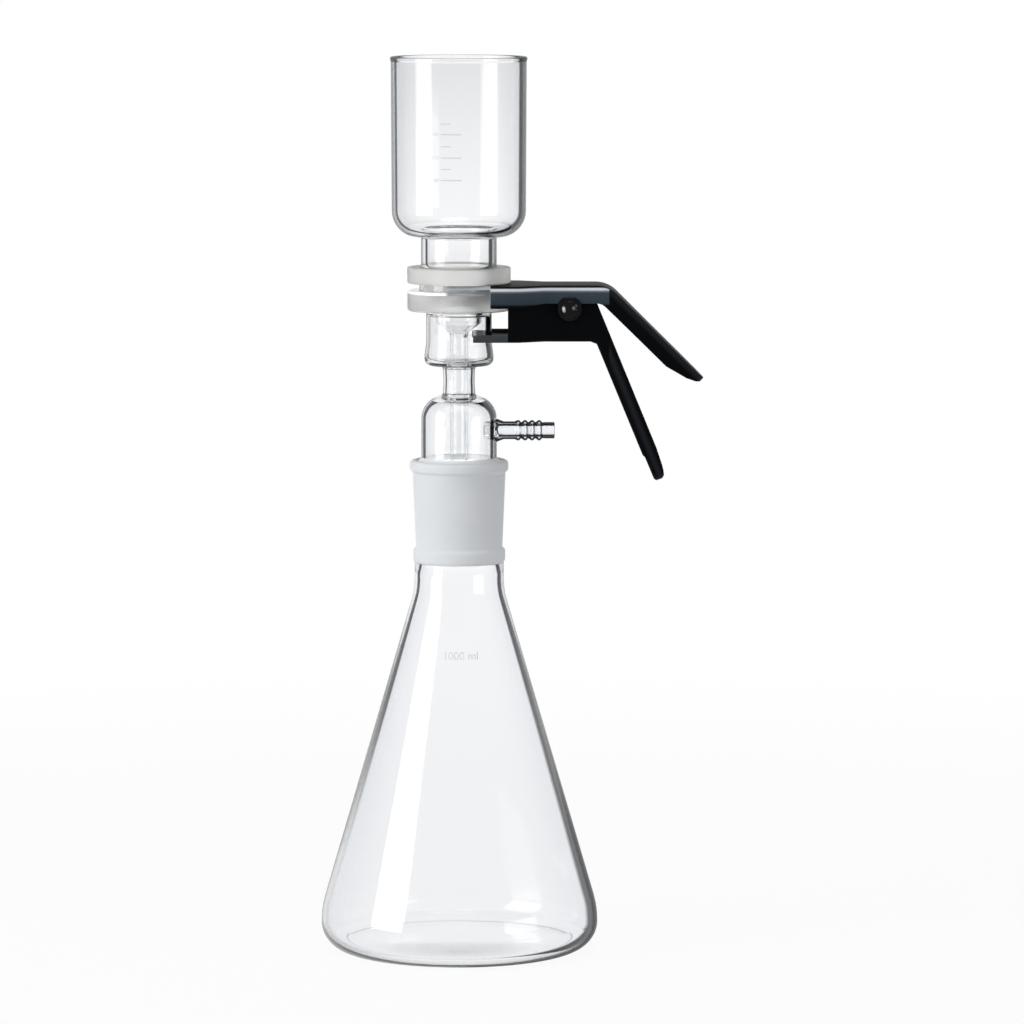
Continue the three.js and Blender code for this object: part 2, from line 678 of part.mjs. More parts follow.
// Wire of the torsion spring, about the pivot as origin: a straight leg, the coil and a second leg.
class SpringWire extends THREE.Curve {
  constructor() {
    super();
    const slack = spring.wire / 2 + SEAT_GAP;
    const upper = new THREE.Vector2(spring.legEndX, clamp.pivotDrop - clamp.sheet - slack);
    const lower = new THREE.Vector2(
      spring.legEndX - 2,
      clamp.pivotDrop - clamp.lowerPlateDrop + clamp.sheet + slack,
    );
    this.upper = upper;
    this.lower = lower;
    this.startAngle = upper.angle() + Math.acos(spring.coilRadius / upper.length());
    const endAngle = lower.angle() - Math.acos(spring.coilRadius / lower.length()) - 2 * Math.PI;
    this.sweep = endAngle - this.startAngle + 2 * Math.PI * (1 + spring.turns);
    this.halfLength = ((this.sweep / (2 * Math.PI)) * spring.pitch) / 2;
  }

  onCoil(share) {
    const angle = this.startAngle + this.sweep * share;
    return new THREE.Vector3(
      spring.coilRadius * Math.cos(angle),
      this.halfLength * (2 * share - 1),
      spring.coilRadius * Math.sin(angle),
    );
  }

  getPoint(t, target = new THREE.Vector3()) {
    const leg = 0.04; // share of the curve's parameter on each leg
    if (t < leg) {
      const end = new THREE.Vector3(this.upper.x, -this.halfLength, this.upper.y);
      return target.lerpVectors(end, this.onCoil(0), t / leg);
    }
    if (t > 1 - leg) {
      const end = new THREE.Vector3(this.lower.x, this.halfLength, this.lower.y);
      return target.lerpVectors(end, this.onCoil(1), (1 - t) / leg);
    }
    return target.copy(this.onCoil((t - leg) / (1 - 2 * leg)));
  }
}

function springGeometry() {
  const section = new THREE.Shape();
  section.absarc(0, 0, spring.wire / 2, 0, 2 * Math.PI);
  return new THREE.ExtrudeGeometry(section, {
    extrudePath: new SpringWire(),
    steps: spring.turns * 13,
    curveSegments: spring.sides / 2,
  });
}

// ---- The scene ----

const clearGlass = new THREE.MeshStandardMaterial({
  color: "#e8eef0",
  roughness: 0.04,
  metalness: 0,
  transparent: true,
  opacity: 0.35,
});
const frittedGlass = new THREE.MeshStandardMaterial({ color: "#f1efe9", roughness: 0.85, metalness: 0 });
const blackAnodised = new THREE.MeshStandardMaterial({ color: "#17191d", roughness: 0.38, metalness: 0.6 });
const blackSteel = new THREE.MeshStandardMaterial({ color: "#101113", roughness: 0.3, metalness: 0.7 });
const springSteel = new THREE.MeshStandardMaterial({ color: "#9a9da1", roughness: 0.3, metalness: 1 });

function piece(name, geometry, material) {
  const mesh = new THREE.Mesh(geometry, material);
  mesh.name = name;
  return mesh;
}

const glassware = new THREE.Group();
glassware.add(
  piece("flask", flaskGeometry(), clearGlass),
  piece("support_base", supportBaseGeometry(), clearGlass),
  piece("fritted_disc", fritGeometry(), frittedGlass),
  piece("funnel", funnelGeometry(), clearGlass),
);

const pivot = new THREE.Group();
pivot.position.set(clamp.pivotX, 0, pivotZ);
const rivetMesh = piece("pivot_rivet", rivetGeometry(), blackSteel);
rivetMesh.rotation.x = Math.PI / 2;
pivot.add(rivetMesh, piece("torsion_spring", springGeometry(), springSteel));
for (const [name, side] of [["front_washer", 1], ["rear_washer", -1]]) {
  const washer = piece(name, washerGeometry(), blackSteel);
  washer.rotation.x = (side * Math.PI) / 2;
  washer.position.y = -side * (clamp.waistHalfWidth + SEAT_GAP);
  pivot.add(washer);
}

const unit = new THREE.Group();
unit.add(
  glassware,
  piece("clamp_upper_half", clampUpperHalf(), blackAnodised),
  piece("clamp_lower_half", clampLowerHalf(), blackAnodised),
  pivot,
);

export default unit;
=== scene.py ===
# Vacuum filtration unit: blown and ground glass, printed scale, and a blackened spring clamp, dressed over
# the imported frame. Sizes in the tables are millimetres; meshes are metres, +Z up, glass axis on Z.
import math
from types import SimpleNamespace as Measures

import bmesh
import bpy
from mathutils import Matrix, Vector


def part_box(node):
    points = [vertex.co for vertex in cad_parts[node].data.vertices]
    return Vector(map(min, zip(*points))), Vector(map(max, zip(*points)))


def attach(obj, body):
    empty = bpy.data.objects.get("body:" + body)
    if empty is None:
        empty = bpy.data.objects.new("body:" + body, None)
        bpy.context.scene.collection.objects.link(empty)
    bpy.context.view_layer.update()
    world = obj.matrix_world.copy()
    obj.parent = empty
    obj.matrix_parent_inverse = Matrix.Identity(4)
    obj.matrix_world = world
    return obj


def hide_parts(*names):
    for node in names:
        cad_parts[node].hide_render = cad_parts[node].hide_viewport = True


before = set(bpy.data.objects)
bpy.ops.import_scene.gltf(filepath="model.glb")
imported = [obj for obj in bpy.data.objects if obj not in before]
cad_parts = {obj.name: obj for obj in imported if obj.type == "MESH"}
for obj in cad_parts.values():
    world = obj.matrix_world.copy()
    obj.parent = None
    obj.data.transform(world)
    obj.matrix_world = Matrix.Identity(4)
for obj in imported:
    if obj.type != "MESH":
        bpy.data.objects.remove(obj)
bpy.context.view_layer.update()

MM = 0.001
ROUND = 160  # facets round the large glass pieces
SMALL_ROUND = 48  # facets round small turned pieces
ARC_STEP = math.radians(6)  # turn taken by one chord of a fillet
SIDE_SHARE = 0.98  # most of a side that the fillets at its two ends may take
FOLD_STEPS = 8  # steps across a fold of the clamp's sheet
SEAT_GAP = 0.3  # clearance between pieces that rest on or in each other
BLEND = 0.8  # fillet where two glass surfaces run into each other
OVER = 1  # how far a cutting tool reaches past what it cuts
NEAR = 0.2  # how far past an edge a face still counts as on it
LEVEL, SHALLOW, STEEP, INWARD = 0.04, 0.2, 0.7, -0.1  # leans of faces where one finish ends

flask = Measures(
    radius=65.4, side_height=19.5, base_fillet=14, side_fillet=45,
    half_angle=math.radians(16.3), wall=2.3, floor=2.9, floor_crown=1.3,
    neck_radius=21, shoulder_fillet=35,
    bead_height=184.2, bead_length=7.2, bead_radius=21.7, bead_slope=1.2,
    socket_foot=20.35, socket_top=21.85, rim_length=5.6, rim_radius=23.2, rim_fillet=1.9,
)
joint = Measures(top_radius=20, length=48.2, taper=0.05, lead_in=0.7, run_out=5)
base = Measures(
    wall=1.9, cone_length=48, chamber_radius=17.75, chamber_rise=2,
    dome_height=27.9, dome_rise=2.6, dome_fillet=11,
    neck_radius=7.3, neck_wall=1.5, neck_length=13.55,
    bulb_radius=16.2, bulb_fillet=3.2, bulb_height=11.15, body_radius=15.4, body_fillet=5,
    flange_radius=24.2, flange_thickness=9.7, flange_height=70.4, flange_fillet=1.3,
    boss_radius=18.5, boss_height=3,
    bowl_radius=10.6, bowl_depth=5.4, bowl_cone=5, bowl_fillet=2.5, neck_fillet=12, polished=4.3,
    tube_radius=4.2, tube_bore=3, tube_above_cone=2, tip_slant=math.radians(40),
)
frit = Measures(radius=17, thickness=3.5, ledge=2.1, chamfer=0.3)
side_arm = Measures(
    height=13.9, radius=4.2, bore=2.3, weld_radius=5.8, weld_length=3.2, inner_stub=4.2,
    plain_length=8.4, ridges=4, ridge_pitch=3.3, ridge_radius=4.8, ridge_fillet=0.4,
    valley_radius=3.75, tip_length=5.6, tip_radius=3.85, tip_fillet=0.6,
)
funnel = Measures(
    wall=2.4, flange_radius=24.25, flange_thickness=7.5, flange_fillet=0.7,
    stem_radius=17.75, stem_length=14.1, mouth_flare=0.9,
    bowl_foot=31.4, bowl_top=31.8, bowl_fillet=12.3, floor_fillet=2.6,
    rim_radius=32.1, rim_length=2.3,
)
clamp = Measures(
    sheet=1.6, bend_radius=2.4, fork_clearance=0.4, fork_half=23.5, fork_reach=5.3,
    shoulder_start=28, shoulder_end=40, waist_half=16,
    upper_wall_start=14.7, upper_fork_wall=10.3, upper_wall=8.4,
    lug_radius=5.9, side_gap=0.3, pivot_x=51.8, pivot_drop=11,
    upper_bend_x=70, upper_bend_radius=14, upper_angle=math.radians(44.6), upper_length=62.8,
    upper_depth=8.2, upper_taper_start=46, upper_tip_depth=2.8,
    lower_drop=26.5, lower_fork_tip=6.7, lower_fork_lip=3.6, lower_slot=17.6,
    lower_wall_start=23, lower_bend_x=64.05, lower_shoulder=3.4, lower_back_rise=15.8,
    lower_angle=math.radians(67.6), lower_length=72, lower_depth=7.1, lower_tip_depth=3.2,
    notch_length=14, notch_step=0.6, grip_half=12, tip_half=10.4, end_half=4.5, end_taper=4,
    edge_round=0.22, fork_round=0.45,
)
rivet = Measures(
    radius=2.4, hole_gap=0.3, head_radius=4.2, head_height=2.4, knee_share=0.45, flat_share=0.35,
    head_fillet=1.4, flat_fillet=0.5, washer_radius=5.5, washer_thickness=0.8, round=0.3,
)
spring = Measures(wire=1.3, coil_radius=4.6, turns=7, pitch=1.5, upper_leg_end=12, lower_leg_end=10)

# Places, in millimetres, from the frame's own boxes.
rim_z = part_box("flask")[1].z / MM
cone_foot_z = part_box("support_base")[0].z / MM
boss_top_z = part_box("support_base")[1].z / MM
arm_end_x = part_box("support_base")[1].x / MM
funnel_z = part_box("funnel")[0].z / MM
funnel_top_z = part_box("funnel")[1].z / MM
plate_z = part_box("clamp_upper_half")[1].z / MM
flange_bottom_z = rim_z + base.flange_height
flange_top_z = flange_bottom_z + base.flange_thickness
frit_floor_z = boss_top_z - frit.thickness - SEAT_GAP
stem_foot_z = funnel_z + funnel.flange_thickness
bowl_z = stem_foot_z + funnel.stem_length
arm_z = rim_z + side_arm.height
pivot_z = plate_z - clamp.pivot_drop
lower_plate_z = plate_z - clamp.lower_drop


def socket_radius(z):
    return joint.top_radius - joint.taper * (rim_z - z)


# ---- Finishes ----

# Slants run from 0, seen face on, to 1, seen edge on. Spans are where one look passes into the next.
GLASS_IOR = 1.473  # borosilicate
SIDE_SPAN = (-0.012, 0.012)  # x, in metres, from the left side to the right
TINT_SPAN = (0.12, 0.8)  # slant, from the tint seen face on to the painted grey shade seen edge on
TOTAL_SPAN = (0.90, 0.99)  # share mirrored, from clear glass to a full mirror
LINE_END = (-0.014, 0.006)  # slant, from the far end of a painted dark line of shade to the clear wall
LINE_RISE = 1.8  # share mirrored where a painted dark line of shade is darkest, to that where it starts
RIGHT_LEAN = 0.06  # slant added on the right, where the painted dark edges of shade are wider
FOOT_LEAN, FOOT_DEPTH = 0.09, 0.96  # the same at the foot on the right, and how dark the painted edge shade gets
FORK_STARTS, FORK_FADES = (-5.5, -3), (14, 16)  # x where the flange's painted reflection of the fork starts and ends
TOP_SPAN = (0.65, 0.85)  # upward lean, from the sheet's sides, which carry the painted light, to its top, which keeps the sheet's black
# The sheet's own black, a slate painted on the upper half's walls as light, and a painted highlight along the
# fold.
PAINTED_LIT_SLATE, BLACK, PAINTED_FOLD_HIGHLIGHT = (0.036, 0.049, 0.064), (0.002, 0.0023, 0.003), (0.70, 0.74, 0.79)
# Painted light catches, glowing spots on the rivet's near head: x and z from its middle, reach, and light.
RIVET_CATCHES = [(-2.8, 0.6, 1.1, 0.5), (-2.6, -0.5, 1.1, 0.35), (1.7, 0.7, 1.2, 0.16), (3.3, 2.0, 1.0, 0.09)]
RIVET_FACE_Y, CATCH_CORE = -19.1, 0.35  # where they lie, and the share of their reach that is fully lit


class Value:
    """A socket of a finish, on which Python's operators add Math nodes."""

    def __init__(self, finish, socket):
        self.finish = finish
        self.socket = socket

    def maths(self, operation, first, second):
        return self.finish.node("ShaderNodeMath", {"operation": operation}, {0: first, 1: second})

    def __add__(self, other):
        return self.maths("ADD", self, other)

    def __sub__(self, other):
        return self.maths("SUBTRACT", self, other)

    def __rsub__(self, other):
        return self.maths("SUBTRACT", other, self)

    def __mul__(self, other):
        return self.maths("MULTIPLY", self, other)

    def __truediv__(self, other):
        return self.maths("DIVIDE", self, other)

    __radd__ = __add__
    __rmul__ = __mul__


class Finish:
    """A material, or the world's light, built from nodes."""

    def __init__(self, name, owner=None):
        self.owner = owner or bpy.data.materials.new(name)
        self.owner.use_nodes = True
        self.tree = self.owner.node_tree
        self.tree.nodes.clear()

    def node(self, kind, settings=None, inputs=None, output=0):
        """Adds a node with its settings, then its sockets' values or links, and returns one output."""
        made = self.tree.nodes.new(kind)
        for key, setting in (settings or {}).items():
            if key == "stops":
                ramp = made.color_ramp.elements
                while len(ramp) < len(setting):
                    ramp.new(0.5)
                for element, (position, colour) in zip(ramp, setting):
                    element.position = position
                    element.color = (*colour, 1)
            else:
                setattr(made, key, setting)
        by_identifier = {s.identifier: s for s in made.inputs}
        for key, value in (inputs or {}).items():
            socket = made.inputs[key] if isinstance(key, int) else by_identifier.get(key) or made.inputs[key]
            if isinstance(value, Value):
                self.tree.links.new(value.socket, socket)
            else:
                socket.default_value = (*value, 1) if socket.type == "RGBA" else value
        if isinstance(output, str):
            output = [s.identifier for s in made.outputs].index(output)
        return Value(self, made.outputs[output]) if len(made.outputs) else None

    def place(self):
        """Place on the piece, in metres, which moves with it."""
        return self.node("ShaderNodeTexCoord", output="Object")

    def part(self, axis, vector=None):
        """One axis of a vector, or else of the place."""
        return self.node("ShaderNodeSeparateXYZ", None, {0: vector or self.place()}, axis)

    def noise(self, scale, detail=3.0, stretch=(1, 1, 1)):
        place = self.node(
            "ShaderNodeVectorMath", {"operation": "MULTIPLY"}, {0: self.place(), 1: stretch}, "Vector"
        )
        return self.node(
            "ShaderNodeTexNoise", None, {"Vector": place, "Scale": scale, "Detail": detail}, "Fac"
        )

    def soft_step(self, value, low, high):
        return self.node(
            "ShaderNodeMapRange", {"interpolation_type": "SMOOTHSTEP"},
            {"Value": value, "From Min": low, "From Max": high}, "Result",
        )

    def blended(self, factor, low, high):
        """Colour between two colours or links."""
        return self.node(
            "ShaderNodeMix", {"data_type": "RGBA"},
            {"Factor_Float": factor, "A_Color": low, "B_Color": high}, "Result_Color",
        )

    def ramp(self, value, stops):
        """Colour of a value, from [value, colour] stops."""
        first, last = stops[0][0], stops[-1][0]
        places = [((at - first) / (last - first), colour) for at, colour in stops]
        share = (value - first) / (last - first)
        return self.node("ShaderNodeValToRGB", {"stops": places}, {"Fac": share}, "Color")

    def bump(self, height, distance, strength=1.0):
        return self.node(
            "ShaderNodeBump", None, {"Height": height, "Distance": distance, "Strength": strength}, "Normal"
        )

    def principled(self, **inputs):
        named = {key.replace("_", " "): value for key, value in inputs.items()}
        return self.node("ShaderNodeBsdfPrincipled", None, named)

    def facing(self):
        """0 where the surface faces the eye, 1 where it is seen edge on."""
        return self.node("ShaderNodeLayerWeight", None, {"Blend": 0.5}, "Facing")

    def right_side(self):
        """0 on the side away from the side arm, 1 on the side where the arm is, where the glass's painted
        shade is darker.
        """
        return self.soft_step(self.part("X"), *SIDE_SPAN)

    def glass(self, face_on, edge_on):
        """Clear glass of two tints, by how slanted it is seen; the tint seen edge on is painted grey shade.
        """
        ripple = self.bump(self.noise(22, 1.0, stretch=(1, 1, 0.25)), 0.00006)
        return self.principled(
            Base_Color=self.blended(self.soft_step(self.facing(), *TINT_SPAN), face_on, edge_on),
            Roughness=0.0, IOR=GLASS_IOR, Transmission_Weight=1.0, Normal=ripple,
        )

    # A dark, dull surface mixed in as painted shade where the glass is seen edge on.
    def painted_edge_shade(self):
        return self.principled(Base_Color=(0.028, 0.034, 0.042), Roughness=0.3, Specular_IOR_Level=0.02)

    def mixed(self, factor, first, second):
        return self.node("ShaderNodeMixShader", None, {0: factor, 1: first, 2: second})

    def done(self, surface):
        self.node("ShaderNodeOutputMaterial", None, {"Surface": surface})
        return self.owner


def clear_glass(name, face_on, edge_on, rim_low, rim_high, depth=0.62, foot=None):
    """Blown glass seen from the air, with painted shade: greyer the more slanted it is seen, and dark where
    seen edge on.

    A list of [height, tint] gives the tint seen face on by height, which paints shade by height. Foot is a
    height span down which the painted edge shade on the right turns darkest."""
    finish = Finish(name)
    right = finish.right_side()
    slant = finish.facing() + right * RIGHT_LEAN
    if isinstance(face_on, list):
        face_on = finish.ramp(finish.part("Z"), face_on)
    if foot:
        deep = right * (1 - finish.soft_step(finish.part("Z"), *foot))
        slant = slant + deep * FOOT_LEAN
        depth = depth + deep * (FOOT_DEPTH - depth)
    edge = finish.soft_step(slant, rim_low, rim_high) * depth
    return finish.done(finish.mixed(edge, finish.glass(face_on, edge_on), finish.painted_edge_shade()))


def bore_glass(name, face_on, edge_on, far, near=0.34, veil=0.5, fade=None, gain=0.8):
    """Glass round a hollow, with painted shade: a dark line from where it mirrors by near to where it is
    slanted by far.

    Veil is how dark the painted shade keeps the wall past the line on the right, and gain how much wider the
    line is there. Fade is a height span over which the painted line on the left comes up, and its least
    share."""
    finish = Finish(name)
    right = finish.right_side()
    shine = finish.node("ShaderNodeFresnel", None, {"IOR": GLASS_IOR})
    past = finish.soft_step(finish.facing(), far + LINE_END[0], far + LINE_END[1])
    past = finish.soft_step(shine, *TOTAL_SPAN) * past
    edge = finish.soft_step(shine * (1 + right * gain), near, LINE_RISE * near)
    edge = edge * (1 - past * (1 - right * veil))
    if fade:
        low, high, least = fade
        left = finish.soft_step(finish.part("Z"), low, high) * (1 - least) + least
        edge = edge * (left * (1 - right) + right)
    return finish.done(finish.mixed(edge, finish.glass(face_on, edge_on), finish.painted_edge_shade()))


def ground_glass(name, low, high, clear_share, edge_shade_share=0.0):
    """Glass ground with fine grit: pale, soft, a little see-through, and painted darker, as shade, where seen
    edge on.
    """
    finish = Finish(name)
    grain, cloud = finish.noise(5200, 2.0), finish.noise(60)
    edge = finish.soft_step(finish.facing(), 0.5, 0.85) * edge_shade_share
    return finish.done(finish.principled(
        Base_Color=finish.blended(edge, finish.blended(cloud, low, high), (0.3, 0.3, 0.3)),
        Roughness=0.5 + cloud * 0.15, IOR=GLASS_IOR, Transmission_Weight=clear_share,
        Normal=finish.bump(grain, 0.00003, 0.6),
    ))


def polished_flange():
    """The clear upper part of the base's flange: white with a faint painted glow, a painted reflection of the
    clamp's fork in slate, and painted grey shade at its edges.
    """
    finish = Finish("polished_flange")
    along, cloud = finish.part("X") / MM, finish.noise(90)
    ragged = along + cloud * 3
    painted_fork_reflection = finish.soft_step(ragged, *FORK_STARTS) * (1 - finish.soft_step(along, *FORK_FADES) * 0.4)
    # Painted grey shade where the flange is seen edge on.
    outline = finish.soft_step(finish.facing(), 0.62, 0.92) * 0.8
    shade = finish.blended(painted_fork_reflection, (0.97, 0.975, 0.98), (0.25, 0.27, 0.30))
    shade = finish.blended(outline, shade, (0.34, 0.35, 0.37))
    # The painted colour also glows faintly, as painted light.
    return finish.done(finish.principled(
        Base_Color=shade, Roughness=0.12 + cloud * 0.1, Emission_Color=shade, Emission_Strength=0.28,
        Normal=finish.bump(cloud, 0.00005),
    ))


def lit_ground_glass():
    """Ground glass inside the joint, with a painted glow in place of the light it leads in."""
    finish = Finish("lit_ground_glass")
    cloud = finish.noise(60)
    shade = finish.blended(cloud, (0.90, 0.90, 0.87), (0.98, 0.98, 0.96))
    return finish.done(finish.principled(
        Base_Color=shade, Roughness=0.6 + cloud * 0.2, Emission_Color=shade, Emission_Strength=0.85,
    ))


def fritted_glass():
    finish = Finish("fritted_glass")
    beads = finish.node(
        "ShaderNodeTexVoronoi", None, {"Vector": finish.place(), "Scale": 2600.0}, "Distance"
    )
    return finish.done(finish.principled(
        Base_Color=finish.blended(finish.noise(220, 4.0), (0.80, 0.79, 0.75), (0.92, 0.91, 0.88)),
        Roughness=0.85, Subsurface_Weight=0.15, Subsurface_Scale=0.001,
        Normal=finish.bump(beads, 0.00012, 0.7),
    ))


def black_anodised(name, fork, wall_colour_and_light, painted_handle_sheen, bend, angle, side, deep):
    """Matt black sheet: a colour on the fork up to an x, then painted light and shade down the walls by
    depth, and a painted sheen across the handle; top faces stay black.
    """
    finish = Finish(name)
    grain, cloud = finish.noise(900, stretch=(0.25, 1, 1)), finish.noise(45, 4.0)
    along, height = finish.part("X") / MM, finish.part("Z") / MM
    across = ((along - bend[0]) * math.sin(angle) + (height - bend[1]) * math.cos(angle)) * (side / deep)
    # Top faces keep the sheet's black; the painted light lies on the sides.
    on_top = finish.soft_step(finish.part("Z", finish.node("ShaderNodeTexCoord", output="Normal")), *TOP_SPAN)
    walls = finish.ramp((plate_z - height) / clamp.upper_wall, wall_colour_and_light)
    shade = finish.blended(
        finish.soft_step(along, clamp.upper_bend_x + 0.1, clamp.upper_bend_x + 0.5),
        finish.blended(on_top, walls, BLACK), finish.ramp(across, painted_handle_sheen),
    )
    shade = finish.blended(finish.soft_step(along, fork[0] - 0.3, fork[0]), fork[1], shade)
    return finish.done(finish.principled(
        Base_Color=shade, Roughness=0.42 + cloud * 0.08 + grain * 0.04, Specular_IOR_Level=0.025,
        Normal=finish.bump(grain, 0.00002, 0.35),
    ))


def black_steel():
    """Black steel with painted light catches, glowing through its emission, on the rivet's near head."""
    finish = Finish("black_steel")
    cloud, painted_catch = finish.noise(300), 0
    for x, z, reach, light in RIVET_CATCHES:
        spot = [v * MM for v in (clamp.pivot_x + x, RIVET_FACE_Y, pivot_z + z)]
        away = finish.node(
            "ShaderNodeVectorMath", {"operation": "DISTANCE"}, {0: finish.place(), 1: spot}, "Value"
        )
        painted_catch = painted_catch + (1 - finish.soft_step(away, CATCH_CORE * reach * MM, reach * MM)) * light
    return finish.done(finish.principled(
        Emission_Color=finish.blended(painted_catch, (0, 0, 0), (0.95, 0.97, 1)), Emission_Strength=1.0,
        Base_Color=finish.blended(cloud, (0.002, 0.002, 0.003), (0.005, 0.005, 0.006)),
        Roughness=0.03 + cloud * 0.04, Specular_IOR_Level=0.1,
        Normal=finish.bump(cloud, 0.00004, 0.3),
    ))


def spring_steel():
    finish = Finish("spring_steel")
    drawn = finish.noise(700, 2.0, stretch=(1, 0.2, 1))
    return finish.done(finish.principled(
        Base_Color=finish.blended(drawn, (0.32, 0.33, 0.35), (0.48, 0.49, 0.51)),
        Metallic=1.0, Roughness=0.28 + drawn * 0.12,
    ))


def print_film(name, low, high):
    finish = Finish(name)
    wear = finish.noise(1500)
    return finish.done(finish.principled(
        Base_Color=finish.blended(wear, low, high), Roughness=0.5 + wear * 0.2,
    ))


# The clear glass finishes paint shade: greyer where slanted, dark at the edges and darker on the right.
FLASK_OUTSIDE = clear_glass(
    "clear_glass_flask", (0.94, 0.946, 0.957), (0.78, 0.80, 0.835), 0.82, 0.94, 0.5, (0.05, 0.12)
)
FLASK_INSIDE = bore_glass(
    "clear_glass_flask_inside", (0.955, 0.96, 0.967), (0.80, 0.82, 0.855), 0.302, 0.30, 0.25,
    (0.035, 0.13, 0.15),
)
FLOOR_RING = clear_glass("clear_glass_floor_ring", (0.93, 0.935, 0.945), (0.66, 0.68, 0.72), 0.5, 0.9, 0.3)
# The funnel's face-on tint paints shade by height: greyest near the rim, lightest just above the stem.
FUNNEL_OUTSIDE = clear_glass(
    "clear_glass_funnel",
    [(0.330, (0.92, 0.925, 0.93)), (0.337, (0.985, 0.99, 0.995)), (0.348, (0.985, 0.99, 0.995)),
     (0.385, (0.908, 0.913, 0.921)), (0.422, (0.805, 0.81, 0.82))],
    (0.64, 0.66, 0.69), 0.60, 0.80,
)
FUNNEL_INSIDE = bore_glass("clear_glass_funnel_inside", (0.935, 0.94, 0.945), (0.64, 0.66, 0.69), 0.286)
STEM_INSIDE = bore_glass("clear_glass_stem_inside", (0.94, 0.945, 0.95), (0.76, 0.78, 0.81), 0.284, 0.17)
FUNNEL_RIM = clear_glass("clear_glass_funnel_rim", (0.90, 0.905, 0.915), (0.62, 0.64, 0.67), 0.45, 0.70, 0.9)
BASE_OUTSIDE = clear_glass("clear_glass_base", (0.93, 0.936, 0.943), (0.76, 0.78, 0.81), 0.66, 0.84, 0.62)
BASE_INSIDE = bore_glass(
    "clear_glass_base_inside", (0.945, 0.95, 0.955), (0.76, 0.78, 0.81), 0.318,
    fade=(0.284, 0.279, 0.45), gain=2.2,
)
TUBE_GLASS = clear_glass("clear_glass_tube", (0.95, 0.955, 0.96), (0.80, 0.82, 0.85), 0.60, 0.90, 0.25)
FLOOR_GLASS = clear_glass("clear_glass_floor", (0.95, 0.955, 0.96), (0.92, 0.925, 0.935), 0.94, 1.0, 0.5)
ARM_OUTSIDE = clear_glass("clear_glass_arm", (0.93, 0.94, 0.955), (0.66, 0.69, 0.75), 0.34, 0.52, 1.0)
ARM_INSIDE = bore_glass("clear_glass_arm_inside", (0.94, 0.95, 0.96), (0.70, 0.73, 0.78), 0.55, 0.15)
JOINT_GROUND = ground_glass("ground_glass_joint", (0.78, 0.81, 0.84), (0.86, 0.88, 0.905), 0.12)
FLANGE_GROUND = ground_glass("ground_glass_flange", (0.94, 0.935, 0.915), (0.98, 0.975, 0.96), 0.8, 0.4)
FLANGE_POLISHED = polished_flange()
SEAT_GROUND = lit_ground_glass()
FRITTED = fritted_glass()
UPPER_SHEET = black_anodised(
    "black_anodised_upper", (clamp.upper_wall_start + 0.3, (0.46, 0.49, 0.52)),
    # Down the wall from the top: black, a painted highlight along the fold, painted lit slate, and black at
    # the foot.
    [
        (0, BLACK), (0.10, (0.02, 0.022, 0.026)), (0.15, PAINTED_FOLD_HIGHLIGHT), (0.23, PAINTED_FOLD_HIGHLIGHT), (0.31, (0.16, 0.18, 0.21)),
        (0.40, (0.050, 0.064, 0.080)), (0.98, PAINTED_LIT_SLATE), (1.1, BLACK),
    ],
    # Across the handle: a faint painted sheen near its edge, then black.
    [(0, (0.012, 0.014, 0.018)), (0.18, (0.014, 0.016, 0.020)), (0.4, BLACK), (1, BLACK)],
    (clamp.upper_bend_x, plate_z), clamp.upper_angle, -1, clamp.upper_depth,
)
LOWER_SHEET = black_anodised(
    "black_anodised_lower", (clamp.lower_wall_start + 0.1, (0.055, 0.06, 0.064)),
    [(0, BLACK), (1, BLACK)],
    # Across the handle: a faint painted sheen down its middle.
    [(0, BLACK), (0.25, BLACK), (0.55, (0.016, 0.018, 0.022)), (0.85, BLACK), (1, BLACK)],
    (clamp.lower_bend_x, lower_plate_z), clamp.lower_angle, 1, clamp.lower_depth,
)
BLACK_STEEL, SPRING_STEEL = black_steel(), spring_steel()
PRINT = print_film("scale_print", (0.68, 0.69, 0.72), (0.80, 0.81, 0.84))
PALE_PRINT = print_film("pale_print", (0.72, 0.73, 0.75), (0.90, 0.91, 0.93))

# ---- Shape helpers ----


def rounded(corners, arc_steps=0):
    """Points of [a, b, fillet] corners. Fillets too large for the side between them shrink alike."""
    bends = []
    for i, (a, b, *fillet) in enumerate(corners):
        here = Vector((a, b))
        back = Vector(corners[i - 1][:2]) - here
        ahead = Vector(corners[(i + 1) % len(corners)][:2]) - here
        turn = math.pi - back.angle(ahead)
        bends.append((here, back, ahead, turn, sum(fillet), sum(fillet) * math.tan(turn / 2)))
    points = []
    for i, (here, back, ahead, turn, fillet, reach) in enumerate(bends):
        if not fillet:
            points.append(here)
            continue
        side_back = SIDE_SHARE * back.length / (reach + bends[i - 1][-1])
        side_ahead = SIDE_SHARE * ahead.length / (reach + bends[(i + 1) % len(bends)][-1])
        radius = fillet * min(1, side_back, side_ahead)
        sense = math.copysign(1, ahead.cross(back))
        back.normalize()
        ahead.normalize()
        start = here + back * radius * math.tan(turn / 2)
        centre = here + (back + ahead).normalized() * radius / math.cos(turn / 2)
        steps = arc_steps or max(2, math.ceil(turn / ARC_STEP))
        for step in range(steps + 1):
            arm = start - centre
            arm.rotate(Matrix.Rotation(sense * turn * step / steps, 2))
            points.append(centre + arm)
    return points


def placed(name, data):
    made = bpy.data.objects.new(name, data)
    bpy.context.scene.collection.objects.link(made)
    return made


def shown_mesh(made):
    """Mesh of an object as its modifiers or its curve show it."""
    return bpy.data.meshes.new_from_object(made.evaluated_get(bpy.context.evaluated_depsgraph_get()))


